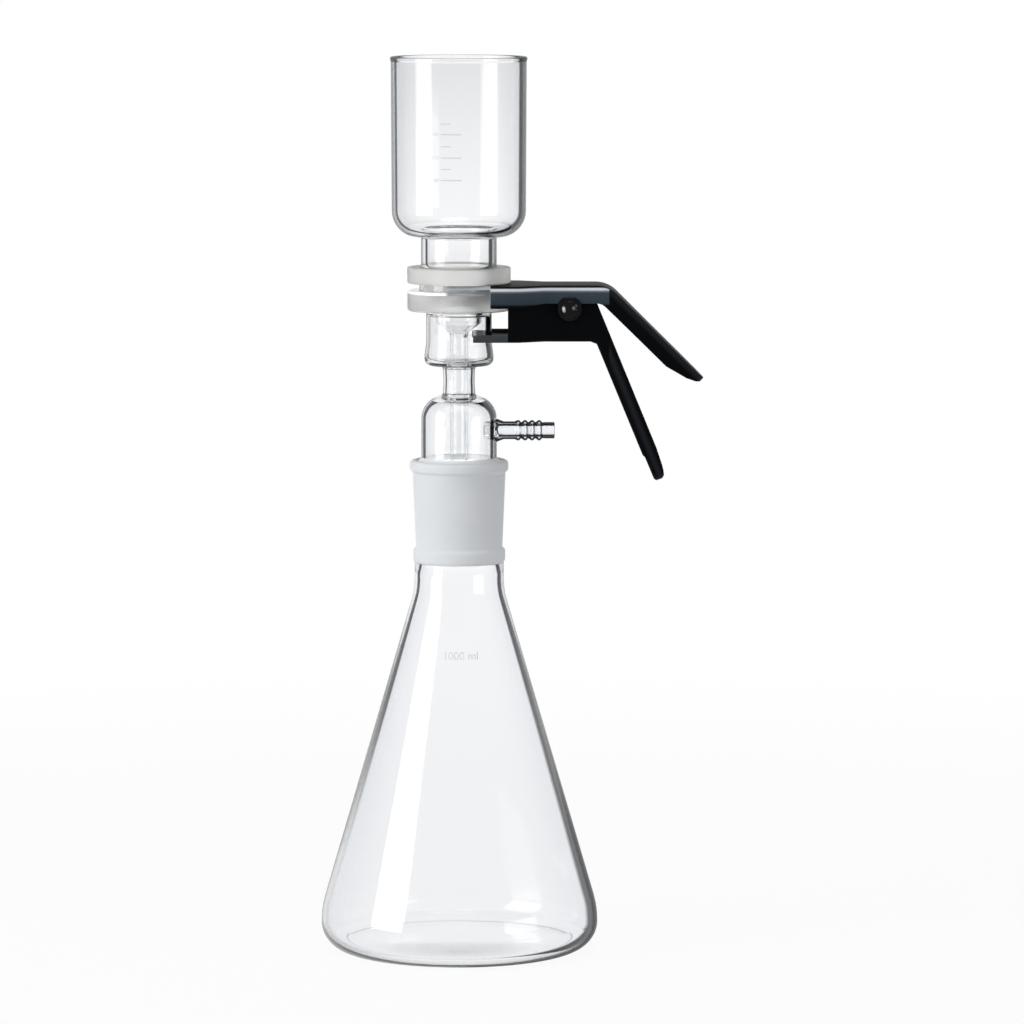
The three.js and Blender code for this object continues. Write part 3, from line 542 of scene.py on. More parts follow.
def piece(name, mesh, finish, zones=()):
    """Object of a mesh, smooth but for its sharp edges, with a finish of its own and others in zones.

    Zones are [finish, test] rows, and the last row that holds counts. A test reads a face's place, radius
    and lean, which is 1 where the face looks outwards, 0 where it looks up or down and -1 inwards."""
    made = placed(name, mesh)
    finishes = list(dict.fromkeys([finish, *(row[0] for row in zones)]))
    for each in finishes:
        mesh.materials.append(each)
    mesh.shade_smooth()
    mesh.set_sharp_from_angle(angle=math.radians(40))
    for face in mesh.polygons if zones else ():
        x, y, z = face.center / MM
        radius = math.hypot(x, y)
        lean = (face.normal.x * x + face.normal.y * y) / max(radius, 1e-6)
        at = Measures(x=x, y=y, z=z, radius=radius, lean=lean)
        for zone_finish, inside in zones:
            if inside(at):
                face.material_index = finishes.index(zone_finish)
    return made


def mesh_of(name, points, faces):
    """Closed mesh of millimetre points, its faces turned outwards."""
    mesh = bpy.data.meshes.new(name)
    mesh.from_pydata([Vector(p) * MM for p in points], [], faces)
    work = bmesh.new()
    work.from_mesh(mesh)
    bmesh.ops.remove_doubles(work, verts=work.verts, dist=1e-7)
    bmesh.ops.recalc_face_normals(work, faces=work.faces)
    work.to_mesh(mesh)
    work.free()
    return mesh


def turned(name, corners, segments=ROUND):
    """Body of revolution about Z from [radius, z, fillet] corners."""
    section = rounded(corners)
    points = []
    for radius, z in section:
        for j in range(segments):
            angle = 2 * math.pi * j / segments
            points.append((max(radius, 0) * math.cos(angle), max(radius, 0) * math.sin(angle), z))
    faces = []
    for i in range(len(section)):
        after = (i + 1) % len(section)
        if section[i].x < 1e-6 and section[after].x < 1e-6:
            continue
        for j in range(segments):
            k = (j + 1) % segments
            faces.append((i * segments + j, i * segments + k, after * segments + k, after * segments + j))
    return mesh_of(name, points, faces)


def block(low, high):
    points = [(x, y, z) for x in (low[0], high[0]) for y in (low[1], high[1]) for z in (low[2], high[2])]
    return mesh_of(
        "block", points,
        [(0, 1, 3, 2), (4, 6, 7, 5), (0, 4, 5, 1), (2, 3, 7, 6), (0, 2, 6, 4), (1, 5, 7, 3)],
    )


def prism(outline, low, high):
    count = len(outline)
    points = [(x, y, z) for z in (low, high) for x, y in outline]
    sides = [(i, (i + 1) % count, count + (i + 1) % count, count + i) for i in range(count)]
    return mesh_of("prism", points, [tuple(range(count)), tuple(range(count, 2 * count)), *sides])


def rod(radius, start, end, split=0.5):
    """Round bar between two points, its faces parted at a share of its length."""
    start, end = Vector(start), Vector(end)
    length = (end - start).length
    corners = [[0, 0], [radius, 0], [radius, split * length], [radius, length], [0, length]]
    mesh = turned("rod", corners, SMALL_ROUND)
    turn = (end - start).to_track_quat("Z", "Y").to_matrix().to_4x4()
    mesh.transform(Matrix.Translation(start * MM) @ turn)
    return mesh


def pivot_rod(radius, half):
    return rod(radius, (clamp.pivot_x, -half, pivot_z), (clamp.pivot_x, half, pivot_z))


def combined(mesh, other, operation):
    """The first mesh joined with, cut by or kept inside the other."""
    target, tool = placed("target", mesh), placed("tool", other)
    change = target.modifiers.new("change", "BOOLEAN")
    change.operation = operation
    change.solver = "EXACT"
    change.object = tool
    result = shown_mesh(target)
    for o in (target, tool):
        bpy.data.objects.remove(o)
    return result


def dress(made, body, slot, *nodes):
    """Lets a finished piece ride on its body, in place of the nodes it shows."""
    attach(made, body)
    if nodes:
        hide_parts(*nodes)


# ---- Glass ----


def blown_flask():
    slope = math.tan(flask.half_angle)
    wall = flask.wall
    cone_top = flask.side_height + (flask.radius - flask.neck_radius) / slope
    inside_drop = (wall / math.cos(flask.half_angle) - wall) / slope
    bead_top = flask.bead_height + flask.bead_length
    rim_foot = rim_z - flask.rim_length
    bore_foot = rim_z - joint.length
    mesh = turned("flask_glass", [
        [0, 0],
        [flask.radius, 0, flask.base_fillet],
        [flask.radius, flask.side_height, flask.side_fillet],
        [flask.neck_radius, cone_top, flask.shoulder_fillet],
        [flask.neck_radius, flask.bead_height, BLEND],
        [flask.bead_radius, flask.bead_height + flask.bead_slope, 2 * BLEND],
        [flask.bead_radius, bead_top - flask.bead_slope, 2 * BLEND],
        [flask.socket_foot, bead_top, BLEND],
        [flask.socket_top, rim_foot, BLEND],
        [flask.rim_radius, rim_foot + BLEND, 2 * BLEND],
        [flask.rim_radius, rim_z, flask.rim_fillet],
        [joint.top_radius + joint.lead_in, rim_z, 0.3],
        [socket_radius(rim_z - joint.lead_in), rim_z - joint.lead_in],
        [socket_radius(bore_foot), bore_foot],
        [flask.neck_radius - wall, bore_foot - joint.run_out, 4 * BLEND],
        [flask.neck_radius - wall, cone_top - inside_drop, flask.shoulder_fillet],
        [flask.radius - wall, flask.side_height - inside_drop, flask.side_fillet - wall],
        [flask.radius - wall, flask.floor, flask.base_fillet - wall],
        [0, flask.floor + flask.floor_crown],
    ])
    zones = [
        (FLASK_INSIDE, lambda at: at.lean < 0),
        (FLOOR_GLASS, lambda at: -STEEP < at.lean < -SHALLOW and at.z < flask.side_height),
        (FLOOR_GLASS, lambda at: abs(at.lean) < LEVEL and at.z < 2 * flask.floor),
        (FLOOR_RING, lambda at: -SHALLOW < at.lean < -LEVEL and at.z < 2 * flask.floor),
        (JOINT_GROUND, lambda at: at.z > flask.bead_height + NEAR / 2),
    ]
    dress(piece("flask_glass", mesh, FLASK_OUTSIDE, zones), "unit", "clear_glass", "flask")


def side_arm_mesh():
    ridges_x = base.chamber_radius + side_arm.plain_length
    tip_x = ridges_x + side_arm.ridges * side_arm.ridge_pitch
    root_x = base.chamber_radius - base.wall - side_arm.inner_stub
    crest = side_arm.ridge_pitch / 7
    corners = [
        [0, root_x],
        [side_arm.radius, root_x, BLEND],
        [side_arm.radius, base.chamber_radius - 1.5 * base.wall, BLEND],
        [side_arm.weld_radius, base.chamber_radius - base.wall / 2],
        [side_arm.weld_radius, base.chamber_radius - BLEND, 0.4],
        [side_arm.radius, base.chamber_radius + side_arm.weld_length, side_arm.weld_length],
        [side_arm.radius, ridges_x, BLEND],
    ]
    for i in range(side_arm.ridges):
        x = ridges_x + (i + 0.5) * side_arm.ridge_pitch
        corners += [
            [side_arm.ridge_radius, x - crest, side_arm.ridge_fillet],
            [side_arm.ridge_radius, x + crest, side_arm.ridge_fillet],
            [side_arm.valley_radius, x + 3 * crest, side_arm.ridge_fillet],
        ]
    corners += [
        [side_arm.tip_radius, tip_x + 2 * BLEND, 2 * BLEND],
        [side_arm.tip_radius, arm_end_x, side_arm.tip_fillet],
        [0, arm_end_x],
    ]
    mesh = turned("side_arm", corners, SMALL_ROUND)
    mesh.transform(Matrix.Translation((0, 0, arm_z * MM)) @ Matrix.Rotation(math.pi / 2, 4, "Y"))
    return mesh


def support_base_section():
    def cone_radius(z):
        return socket_radius(z) - SEAT_GAP

    cone_top = rim_z - joint.lead_in - SEAT_GAP
    chamber_z = cone_top + base.chamber_rise
    dome_z = rim_z + base.dome_height
    neck_foot = dome_z + base.dome_rise
    neck_top = neck_foot + base.neck_length
    neck_middle = (neck_foot + neck_top) / 2
    neck_flare = base.neck_radius + base.neck_wall / 4
    bulb_middle = neck_top + base.bulb_height / 2
    bulb_top = neck_top + base.bulb_height
    bowl_bore = base.bowl_radius - base.wall
    bowl_foot = flange_bottom_z - base.bowl_depth
    tube_top = bowl_foot - base.bowl_cone
    tube_tip = cone_foot_z + base.tube_above_cone
    jacket_top = flange_bottom_z - base.wall
    wall = base.wall
    return [
        [cone_radius(cone_foot_z) - wall, cone_foot_z, BLEND],
        [cone_radius(cone_foot_z), cone_foot_z, BLEND],
        [cone_radius(cone_top), cone_top, 0.4],
        [base.chamber_radius, chamber_z, BLEND],
        [base.chamber_radius, dome_z, base.dome_fillet],
        [neck_flare, neck_foot, 2 * BLEND],
        [base.neck_radius, neck_middle, base.neck_fillet],
        [neck_flare, neck_top, 2 * BLEND],
        [base.bulb_radius, neck_top + BLEND, base.bulb_fillet],
        [base.bulb_radius, bulb_middle, base.bulb_fillet],
        [base.body_radius, bulb_top, base.body_fillet],
        [base.body_radius, flange_bottom_z, BLEND],
        [base.flange_radius, flange_bottom_z, base.flange_fillet],
        [base.flange_radius, flange_top_z, base.flange_fillet],
        [base.boss_radius, flange_top_z, 0.3],
        [base.boss_radius, boss_top_z, 0.3],
        [frit.radius + SEAT_GAP, boss_top_z],
        [frit.radius + SEAT_GAP, frit_floor_z],
        [frit.radius - frit.ledge, frit_floor_z, 0.4],
        [bowl_bore, flange_bottom_z + wall, base.bowl_fillet],
        [bowl_bore, bowl_foot, base.bowl_fillet],
        [base.tube_bore, tube_top + wall / 2, base.bowl_fillet],
        [base.tube_bore, tube_tip],
        [base.tube_radius, tube_tip],
        [base.tube_radius, tube_top, base.bowl_fillet],
        [base.bowl_radius, bowl_foot, base.bowl_fillet],
        [base.bowl_radius, jacket_top, BLEND],
        [base.body_radius - wall, jacket_top, BLEND],
        [base.body_radius - wall, bulb_top, base.body_fillet],
        [base.bulb_radius - wall, bulb_middle, base.bulb_fillet],
        [base.bulb_radius - wall, neck_top + BLEND + wall, base.bulb_fillet - wall / 2],
        [neck_flare - base.neck_wall, neck_top + wall, BLEND],
        [base.neck_radius - base.neck_wall, neck_middle, base.neck_fillet],
        [neck_flare - base.neck_wall, neck_foot - wall, BLEND],
        [base.chamber_radius - wall, dome_z - wall, base.dome_fillet - wall],
        [base.chamber_radius - wall, chamber_z - wall / 2, BLEND],
        [cone_radius(cone_top) - wall, cone_top - wall / 2, BLEND],
    ]


def lampworked_base():
    name = "support_base_glass"
    tube_tip = cone_foot_z + base.tube_above_cone
    lift = tube_tip + base.tube_radius * math.tan(base.tip_slant)
    below_slant = block((-20, -20, -20), (20, 20, 0))
    below_slant.transform(
        Matrix.Translation((0, 0, lift * MM)) @ Matrix.Rotation(base.tip_slant, 4, "Y")
    )
    tube_space = rod(base.tube_radius + OVER, (0, 0, tube_tip - OVER), (0, 0, tube_tip + 20))
    mesh = combined(turned(name, support_base_section()), side_arm_mesh(), "UNION")
    wall_x = base.chamber_radius + 0.3
    bore_start, bore_end = base.tube_radius + base.wall, arm_end_x + OVER
    root_share = (wall_x - bore_start) / (bore_end - bore_start)
    bore = rod(side_arm.bore, (bore_start, 0, arm_z), (bore_end, 0, arm_z), root_share)
    mesh = combined(mesh, bore, "DIFFERENCE")
    mesh = combined(mesh, combined(below_slant, tube_space, "INTERSECT"), "DIFFERENCE")
    mesh.name = name

    chamber_foot = rim_z + base.chamber_rise
    neck_foot = rim_z + base.dome_height + base.dome_rise
    bowl_end = flange_bottom_z - base.bowl_depth - base.bowl_cone - OVER
    polished_foot = flange_top_z - base.polished

    def on_cone(at):
        outside = socket_radius(min(at.z, rim_z)) - SEAT_GAP
        return at.z < chamber_foot and at.radius > outside - 1.5 * base.wall

    def in_bowl(at):
        return at.radius < NEAR + (base.bowl_radius if at.z > bowl_end else base.tube_radius)

    def on_flange(at):
        on_side = flange_bottom_z + 2 * NEAR < at.z < polished_foot and at.radius > base.flange_radius - 1
        return on_side or at.z > boss_top_z - NEAR / 4

    def by_arm(at, reach):
        return at.x > base.tube_radius and math.hypot(at.y, at.z - arm_z) < reach

    weld = side_arm.weld_radius
    zones = [
        (BASE_INSIDE, lambda at: at.lean < INWARD and at.radius < base.bulb_radius),
        (TUBE_GLASS, lambda at: -0.5 < at.lean < 0 or in_bowl(at)),
        (TUBE_GLASS, lambda at: abs(at.lean) < 0.8 and abs(at.z - neck_foot) < 6 * NEAR),
        (JOINT_GROUND, on_cone),
        (SEAT_GROUND, lambda at: on_cone(at) and at.lean < 0),
        (FLANGE_GROUND, on_flange),
        (FLANGE_POLISHED, lambda at: at.z > polished_foot and at.radius > base.boss_radius + NEAR),
        (ARM_OUTSIDE, lambda at: at.radius > wall_x and by_arm(at, weld + 5 * NEAR)),
        (ARM_INSIDE, lambda at: by_arm(at, side_arm.bore + NEAR / 2)),
        (FLOOR_GLASS, lambda at: at.radius < wall_x and by_arm(at, weld + 4 * NEAR)),
    ]
    dress(piece(name, mesh, BASE_OUTSIDE, zones), "unit", "clear_glass", "support_base")


def blown_funnel():
    bore = funnel.stem_radius - funnel.wall
    floor_z = bowl_z + funnel.wall
    rim_foot = funnel_top_z - funnel.rim_length
    mesh = turned("funnel_glass", [
        [bore + funnel.mouth_flare, funnel_z, 0.3],
        [funnel.flange_radius, funnel_z, funnel.flange_fillet],
        [funnel.flange_radius, stem_foot_z, funnel.flange_fillet],
        [funnel.stem_radius, stem_foot_z, 2 * BLEND],
        [funnel.stem_radius, bowl_z, BLEND],
        [funnel.bowl_foot, bowl_z, funnel.bowl_fillet],
        [funnel.bowl_top, rim_foot, BLEND],
        [funnel.rim_radius, rim_foot + BLEND, BLEND],
        [funnel.rim_radius, funnel_top_z, BLEND],
        [funnel.bowl_top - funnel.wall, funnel_top_z, BLEND],
        [funnel.bowl_foot - funnel.wall, floor_z, funnel.bowl_fillet - funnel.wall],
        [bore, floor_z, funnel.floor_fillet],
        [bore, stem_foot_z - funnel.flange_thickness / 2, funnel.floor_fillet],
    ])

    def on_flange(at):
        on_side = funnel_z + 0.5 < at.z < stem_foot_z + NEAR / 2 and at.radius > funnel.stem_radius + 0.5
        return on_side or at.z < funnel_z + 0.3

    def on_floor(at):
        by_mouth = at.radius < bore + funnel.floor_fillet + NEAR
        by_mouth = by_mouth and bowl_z - 3 * NEAR < at.z < floor_z + NEAR / 2
        under_bowl = abs(at.lean) < 2 * SHALLOW and bowl_z - 5 * NEAR < at.z < bowl_z + 6 * NEAR
        on_top = -0.5 < at.lean < SHALLOW and bowl_z < at.z < bowl_z + funnel.bowl_fillet
        return by_mouth or under_bowl or on_top

    zones = [
        (FUNNEL_INSIDE, lambda at: at.lean < INWARD),
        (STEM_INSIDE, lambda at: at.lean < INWARD and at.z < bowl_z),
        (FLANGE_GROUND, on_flange),
        (FLOOR_GLASS, on_floor),
        (FUNNEL_RIM, lambda at: at.z > rim_foot),
    ]
    dress(piece("funnel_glass", mesh, FUNNEL_OUTSIDE, zones), "unit", "clear_glass", "funnel")


def sintered_disc():
    mesh = turned("fritted_disc_glass", [
        [0, boss_top_z - frit.thickness],
        [frit.radius, boss_top_z - frit.thickness, frit.chamfer],
        [frit.radius, boss_top_z, frit.chamfer],
        [0, boss_top_z],
    ])
    dress(piece("fritted_disc_glass", mesh, FRITTED), "unit", "fritted_glass", "fritted_disc")


blown_flask()
lampworked_base()
blown_funnel()
sintered_disc()

# ---- Clamp ----


def channel_section(station):
    plate, edge, half = station
    start = Vector((plate[0], 0, plate[1]))
    inward = Vector((edge[0], 0, edge[1])) - start
    depth = inward.length
    inward.normalize()
    sheet, bend = clamp.sheet, clamp.bend_radius
    flat = rounded([
        [-half, depth],
        [-half, 0, bend],
        [half, 0, bend],
        [half, depth],
        [half - sheet, depth],
        [half - sheet, sheet, bend - sheet],
        [sheet - half, sheet, bend - sheet],
        [sheet - half, depth],
    ], FOLD_STEPS)
    return [start + inward * p.y + Vector((0, p.x, 0)) for p in flat]


def lofted(name, stations):
    """Folded channel through stations of [plate, edge, half width]."""
    rings = [channel_section(s) for s in stations]
    count = len(rings[0])
    points = [p for ring in rings for p in ring]
    faces = []
    for i in range(len(rings) - 1):
        for a in range(count):
            b = (a + 1) % count
            faces.append((i * count + a, i * count + b, (i + 1) * count + b, (i + 1) * count + a))
    faces.append(tuple(range(count)))
    faces.append(tuple(range(len(points) - count, len(points))))
    return mesh_of(name, points, faces)


def fork_plan(tip_x, slot_radius, half_width):
    """Outline of a fork with a round slot open to -X and round arm ends."""
    far_x = clamp.upper_bend_x + clamp.upper_length
    outside = half_width + OVER
    arm = half_width - slot_radius
    end = clamp.fork_round * arm
    tip_angle = math.acos(max(tip_x, 0) / slot_radius)
    inner = slot_radius * math.sin(tip_angle)
    corners = [
        [tip_x, inner, end],
        [tip_x, half_width, end],
        [tip_x + arm, half_width],
        [tip_x + arm, outside],
        [far_x, outside],
        [far_x, -outside],
        [tip_x + arm, -outside],
        [tip_x + arm, -half_width],
        [tip_x, -half_width, end],
        [tip_x, -inner, end],
    ]
    arc_angle = tip_angle - end / slot_radius if tip_x > 0 else tip_angle
    steps = ROUND // 2
    for i in range(steps + 1):
        angle = arc_angle * (2 * i / steps - 1)
        corners.append([slot_radius * math.cos(angle), slot_radius * math.sin(angle)])
    return rounded(corners)


def handle_stations(bend, angle, wall_side, rows):
    along = Vector((math.cos(angle), -math.sin(angle)))
    inward = Vector((-along.y, along.x)) * wall_side
    stations = []
    for distance, half, depth, *lift in rows:
        plate = Vector(bend) + along * distance + inward * sum(lift)
        stations.append((plate, plate + inward * depth, half))
    return stations


def forked(mesh, plan, relief, waist):
    """Cuts a channel's plate to its fork, clears the fork arms of walls and drills the pivot."""
    x, low, high = relief
    mesh = combined(mesh, prism(plan, lower_plate_z - clamp.lower_length - 10, plate_z + 10), "INTERSECT")
    mesh = combined(mesh, block((-50, -50, low), (x, 50, high)), "DIFFERENCE")
    return combined(mesh, pivot_rod(rivet.radius + rivet.hole_gap, waist + OVER), "DIFFERENCE")


def edged(made):
    """Takes the sharpness off the sheet's cut edges."""
    weld = made.modifiers.new("weld", "WELD")
    weld.merge_threshold = 1e-6
    edge = made.modifiers.new("edge", "BEVEL")
    edge.width = clamp.edge_round * MM
    edge.segments = 2
    edge.limit_method = "ANGLE"
    edge.angle_limit = math.radians(50)
    mesh = shown_mesh(made)
    made.modifiers.clear()
    made.data = mesh
    mesh.shade_smooth()
    mesh.set_sharp_from_angle(angle=math.radians(35))
    return made


def folded_upper_half():
    wide, waist, deep = clamp.fork_half, clamp.waist_half, clamp.upper_depth
    radius, angle, length = clamp.upper_bend_radius, clamp.upper_angle, clamp.upper_length

    def straight(x, half, depth):
        return (x, plate_z), (x, plate_z - depth), half

    bend_start = clamp.upper_bend_x - radius * math.tan(angle / 2)
    bent = []
    steps = 12
    for i in range(steps):
        share = i / steps
        across, up = math.sin(angle * share), math.cos(angle * share)
        edge_radius = radius - clamp.upper_wall - (deep - clamp.upper_wall) * share
        bent.append((
            (bend_start + radius * across, plate_z - radius + radius * up),
            (bend_start + edge_radius * across, plate_z - radius + edge_radius * up),
            waist,
        ))
    mesh = lofted("clamp_upper_sheet", [
        straight(-clamp.fork_reach - 2, wide, clamp.upper_fork_wall),
        straight(clamp.shoulder_start, wide, clamp.upper_fork_wall),
        straight(clamp.shoulder_end, waist, clamp.upper_wall),
        *bent,
        *handle_stations((clamp.upper_bend_x, plate_z), angle, -1, [
            (radius * math.tan(angle / 2), waist, deep),
            (clamp.upper_taper_start / 2, clamp.grip_half + 1, deep),
            (clamp.upper_taper_start, clamp.grip_half, deep),
            (length - 1.5 * clamp.end_taper, clamp.tip_half, (deep + clamp.upper_tip_depth) / 2),
            (length - 0.4 * clamp.end_taper, 0.7 * clamp.tip_half, 1.3 * clamp.upper_tip_depth),
            (length, clamp.end_half, clamp.bend_radius),
        ]),
    ])
    ears = pivot_rod(clamp.lug_radius, waist)
    gap = pivot_rod(clamp.lug_radius + OVER, waist - clamp.sheet)
    mesh = combined(mesh, combined(ears, gap, "DIFFERENCE"), "UNION")
    slot_radius = base.boss_radius + clamp.fork_clearance
    plan = fork_plan(-clamp.fork_reach, slot_radius, wide)
    relief = (clamp.upper_wall_start, plate_z - 2 * clamp.upper_fork_wall, plate_z - clamp.sheet)
    made = piece("clamp_upper_sheet", forked(mesh, plan, relief, waist), UPPER_SHEET)
    dress(edged(made), "unit", "black_anodised", "clamp_upper_half")


def folded_lower_half():
    inset = clamp.sheet + clamp.side_gap
    wide, waist = clamp.fork_half - inset, clamp.waist_half - inset
    deep, angle, length = clamp.lower_depth, clamp.lower_angle, clamp.lower_length
    wall_top = plate_z - clamp.sheet - SEAT_GAP
    pivot_x, bend_x, lug = clamp.pivot_x, clamp.lower_bend_x, clamp.lug_radius
    bend = (bend_x, lower_plate_z)

    def straight(x, half, edge=None):
        return (x, lower_plate_z), edge or (x, wall_top), half

    def back_edge(distance):
        return handle_stations(bend, angle, 1, [(distance, waist, deep)])[0][1]

    notch, end, step = length - clamp.notch_length, clamp.end_taper, clamp.notch_step
    mesh = lofted("clamp_lower_sheet", [
        straight(clamp.lower_fork_tip - 2, wide),
        straight(clamp.shoulder_start, wide),
        straight(clamp.shoulder_end, waist),
        straight(pivot_x, waist),
        straight(pivot_x + lug / 2, waist, (pivot_x + lug, wall_top - clamp.lower_shoulder)),
        straight(bend_x - lug, waist, back_edge(-clamp.lower_back_rise)),
        straight(bend_x - clamp.bend_radius, waist, back_edge(-clamp.lower_back_rise / 2)),
        *handle_stations(bend, angle, 1, [
            (clamp.bend_radius / 2, waist, deep),
            (length / 2, clamp.grip_half, deep),
            (notch, clamp.grip_half - 1, deep),
            (notch + 0.1 * clamp.notch_length, clamp.tip_half, deep - step, step),
            (length - end, 0.8 * clamp.tip_half, deep - 2 * step, step),
            (length - 0.3 * end, 0.6 * clamp.tip_half, (deep + clamp.lower_tip_depth) / 2, step),
            (length, clamp.end_half, clamp.lower_tip_depth, 2 * step),
        ]),
    ])
    plan = fork_plan(clamp.lower_fork_tip, clamp.lower_slot, wide)
    relief = (clamp.lower_wall_start, lower_plate_z + clamp.lower_fork_lip, plate_z)
    made = piece("clamp_lower_sheet", forked(mesh, plan, relief, waist), LOWER_SHEET)
    dress(edged(made), "lower_half", "black_anodised", "clamp_lower_half")


def across_pivot(mesh, side=1, offset=0.0):
    """Lays a piece turned about Z on the pivot's axis."""
    turn = Matrix.Rotation(side * math.pi / 2, 4, "X")
    mesh.transform(Matrix.Translation(Vector((clamp.pivot_x, offset, pivot_z)) * MM) @ turn)
    return mesh


def riveted_pivot():
    head = clamp.waist_half + rivet.washer_thickness + 2 * SEAT_GAP
    end = head + rivet.head_height
    knee = head + rivet.head_height * rivet.knee_share
    flat = rivet.head_radius * rivet.flat_share
    mesh = turned("pivot_rivet_steel", [
        [0, -end],
        [flat, -end, rivet.flat_fillet],
        [rivet.head_radius, -knee, rivet.head_fillet],
        [rivet.head_radius, -head, rivet.round],
        [rivet.radius, -head],
        [rivet.radius, head],
        [rivet.head_radius, head, rivet.round],
        [rivet.head_radius, knee, rivet.head_fillet],
        [flat, end, rivet.flat_fillet],
        [0, end],
    ], SMALL_ROUND)
    dress(piece("pivot_rivet_steel", across_pivot(mesh), BLACK_STEEL), "unit", "black_steel", "pivot_rivet")
    for name, side in (("front_washer", 1), ("rear_washer", -1)):
        bore = rivet.radius + rivet.hole_gap
        ring = turned(name + "_steel", [
            [bore, 0, rivet.round / 2],
            [rivet.washer_radius, 0, rivet.round / 2],
            [rivet.washer_radius, rivet.washer_thickness, rivet.round],
            [bore, rivet.washer_thickness, rivet.round / 2],
        ], SMALL_ROUND)
        offset = -side * (clamp.waist_half + SEAT_GAP)
        made = piece(name + "_steel", across_pivot(ring, side, offset), BLACK_STEEL)
        dress(made, "unit", "black_steel", name)


def coiled_spring():
    slack = spring.wire / 2 + SEAT_GAP
    upper = Vector((spring.upper_leg_end, clamp.pivot_drop - clamp.sheet - slack))
    lower = Vector((spring.lower_leg_end, clamp.pivot_drop - clamp.lower_drop + clamp.sheet + slack))
    coil = spring.coil_radius
    start = math.atan2(upper.y, upper.x) + math.acos(coil / upper.length)
    lower_angle = math.atan2(lower.y, lower.x) % (2 * math.pi)
    end = lower_angle - math.acos(coil / lower.length) - 2 * math.pi
    sweep = end - start + 2 * math.pi * (1 + spring.turns)
    half = sweep / (2 * math.pi) * spring.pitch / 2
    path = [(upper.x, -half, upper.y)]
    steps = spring.turns * 32
    for i in range(steps + 1):
        share = i / steps
        angle = start + sweep * share
        path.append((coil * math.cos(angle), half * (2 * share - 1), coil * math.sin(angle)))
    path.append((lower.x, half, lower.y))
    curve = bpy.data.curves.new("torsion_spring_wire", "CURVE")
    curve.dimensions = "3D"
    curve.bevel_depth = spring.wire / 2 * MM
    curve.bevel_resolution = 4
    curve.use_fill_caps = True
    line = curve.splines.new("POLY")
    line.points.add(len(path) - 1)
    for point, (x, y, z) in zip(line.points, path):
        point.co = ((clamp.pivot_x + x) * MM, y * MM, (pivot_z + z) * MM, 1)
    made = placed("torsion_spring_wire", curve)
    mesh = shown_mesh(made)
    bpy.data.objects.remove(made)
    dress(piece("torsion_spring_wire", mesh, SPRING_STEEL), "unit", "spring_steel", "torsion_spring")


folded_upper_half()
folded_lower_half()
riveted_pivot()
coiled_spring()

# ---- Printed marks ----

scale = Measures(
    marks=[(391.5, ""), (386.6, "140"), (381.0, ""), (375.8, "110"), (370.5, ""), (365.4, "80")],
    short=4.8, long=9.6, start=-8.2, line=0.5, figure=2.3, proud=0.05, film=0.06,
)
contents = Measures(words="1000 ml", figure=5.2, start=-7.6, height=143)


def wrapped(flat_points, radius_at):
    """Points of [across, up, lift] laid round the axis, with across measured from the front."""
    laid = []
    for across, up, lift in flat_points:
        radius = radius_at(up)
        angle = across / radius - math.pi / 2
        reach = radius + lift
        laid.append((reach * math.cos(angle), reach * math.sin(angle), up))
    return laid


def figures(words, size, align, place, radius_at):
    """Points and faces of words printed on a round wall, from or up to a place across and up."""
    text = bpy.data.curves.new("figures", "FONT")
    text.body = words
    text.size = size
    text.align_x = align
    text.align_y = "CENTER"
    text.extrude = scale.film / 2
    shape = bpy.data.objects.new("figures", text)
    mesh = bpy.data.meshes.new_from_object(shape)
    lift = scale.proud + scale.film / 2
    flat = [(place[0] + v.co.x, place[1] + v.co.y, lift + v.co.z) for v in mesh.vertices]
    faces = [tuple(face.vertices) for face in mesh.polygons]
    bpy.data.objects.remove(shape)
    return wrapped(flat, radius_at), faces


def printed_line(low, high, middle, radius_at):
    steps = 12
    flat = []
    for i in range(steps + 1):
        across = low + (high - low) * i / steps
        for up in (middle - scale.line / 2, middle + scale.line / 2):
            for lift in (scale.proud, scale.proud + scale.film):
                flat.append((across, up, lift))
    faces = []
    for i in range(steps):
        a, b = 4 * i, 4 * (i + 1)
        faces.extend([
            (a, b, b + 1, a + 1), (a + 2, a + 3, b + 3, b + 2),
            (a, a + 2, b + 2, b), (a + 1, b + 1, b + 3, a + 3),
        ])
    last = 4 * steps
    faces.extend([(0, 1, 3, 2), (last, last + 2, last + 3, last + 1)])
    return wrapped(flat, radius_at), faces


def printed(name, marks, finish):
    points, faces = [], []
    for mark_points, mark_faces in marks:
        first = len(points)
        points.extend(mark_points)
        faces.extend([tuple(first + corner for corner in face) for face in mark_faces])
    dress(piece(name, mesh_of(name, points, faces), finish), "unit", "clear_glass")


def funnel_scale():
    def radius_at(z):
        return funnel.bowl_foot + 0.35

    marks = []
    for z, words in scale.marks:
        length = scale.long if words else scale.short
        marks.append(printed_line(scale.start, scale.start + length, z, radius_at))
        if words:
            marks.append(figures(words, scale.figure, "RIGHT", (scale.start - 1, z), radius_at))
    printed("funnel_scale", marks, PRINT)


def flask_contents():
    cone_top = flask.side_height + (flask.radius - flask.neck_radius) / math.tan(flask.half_angle)

    def radius_at(z):
        return flask.neck_radius + (cone_top - z) * math.tan(flask.half_angle)

    place = (contents.start, contents.height)
    marks = [figures(contents.words, contents.figure, "LEFT", place, radius_at)]
    printed("flask_contents", marks, PALE_PRINT)


funnel_scale()
flask_contents()

# ---- Studio ----

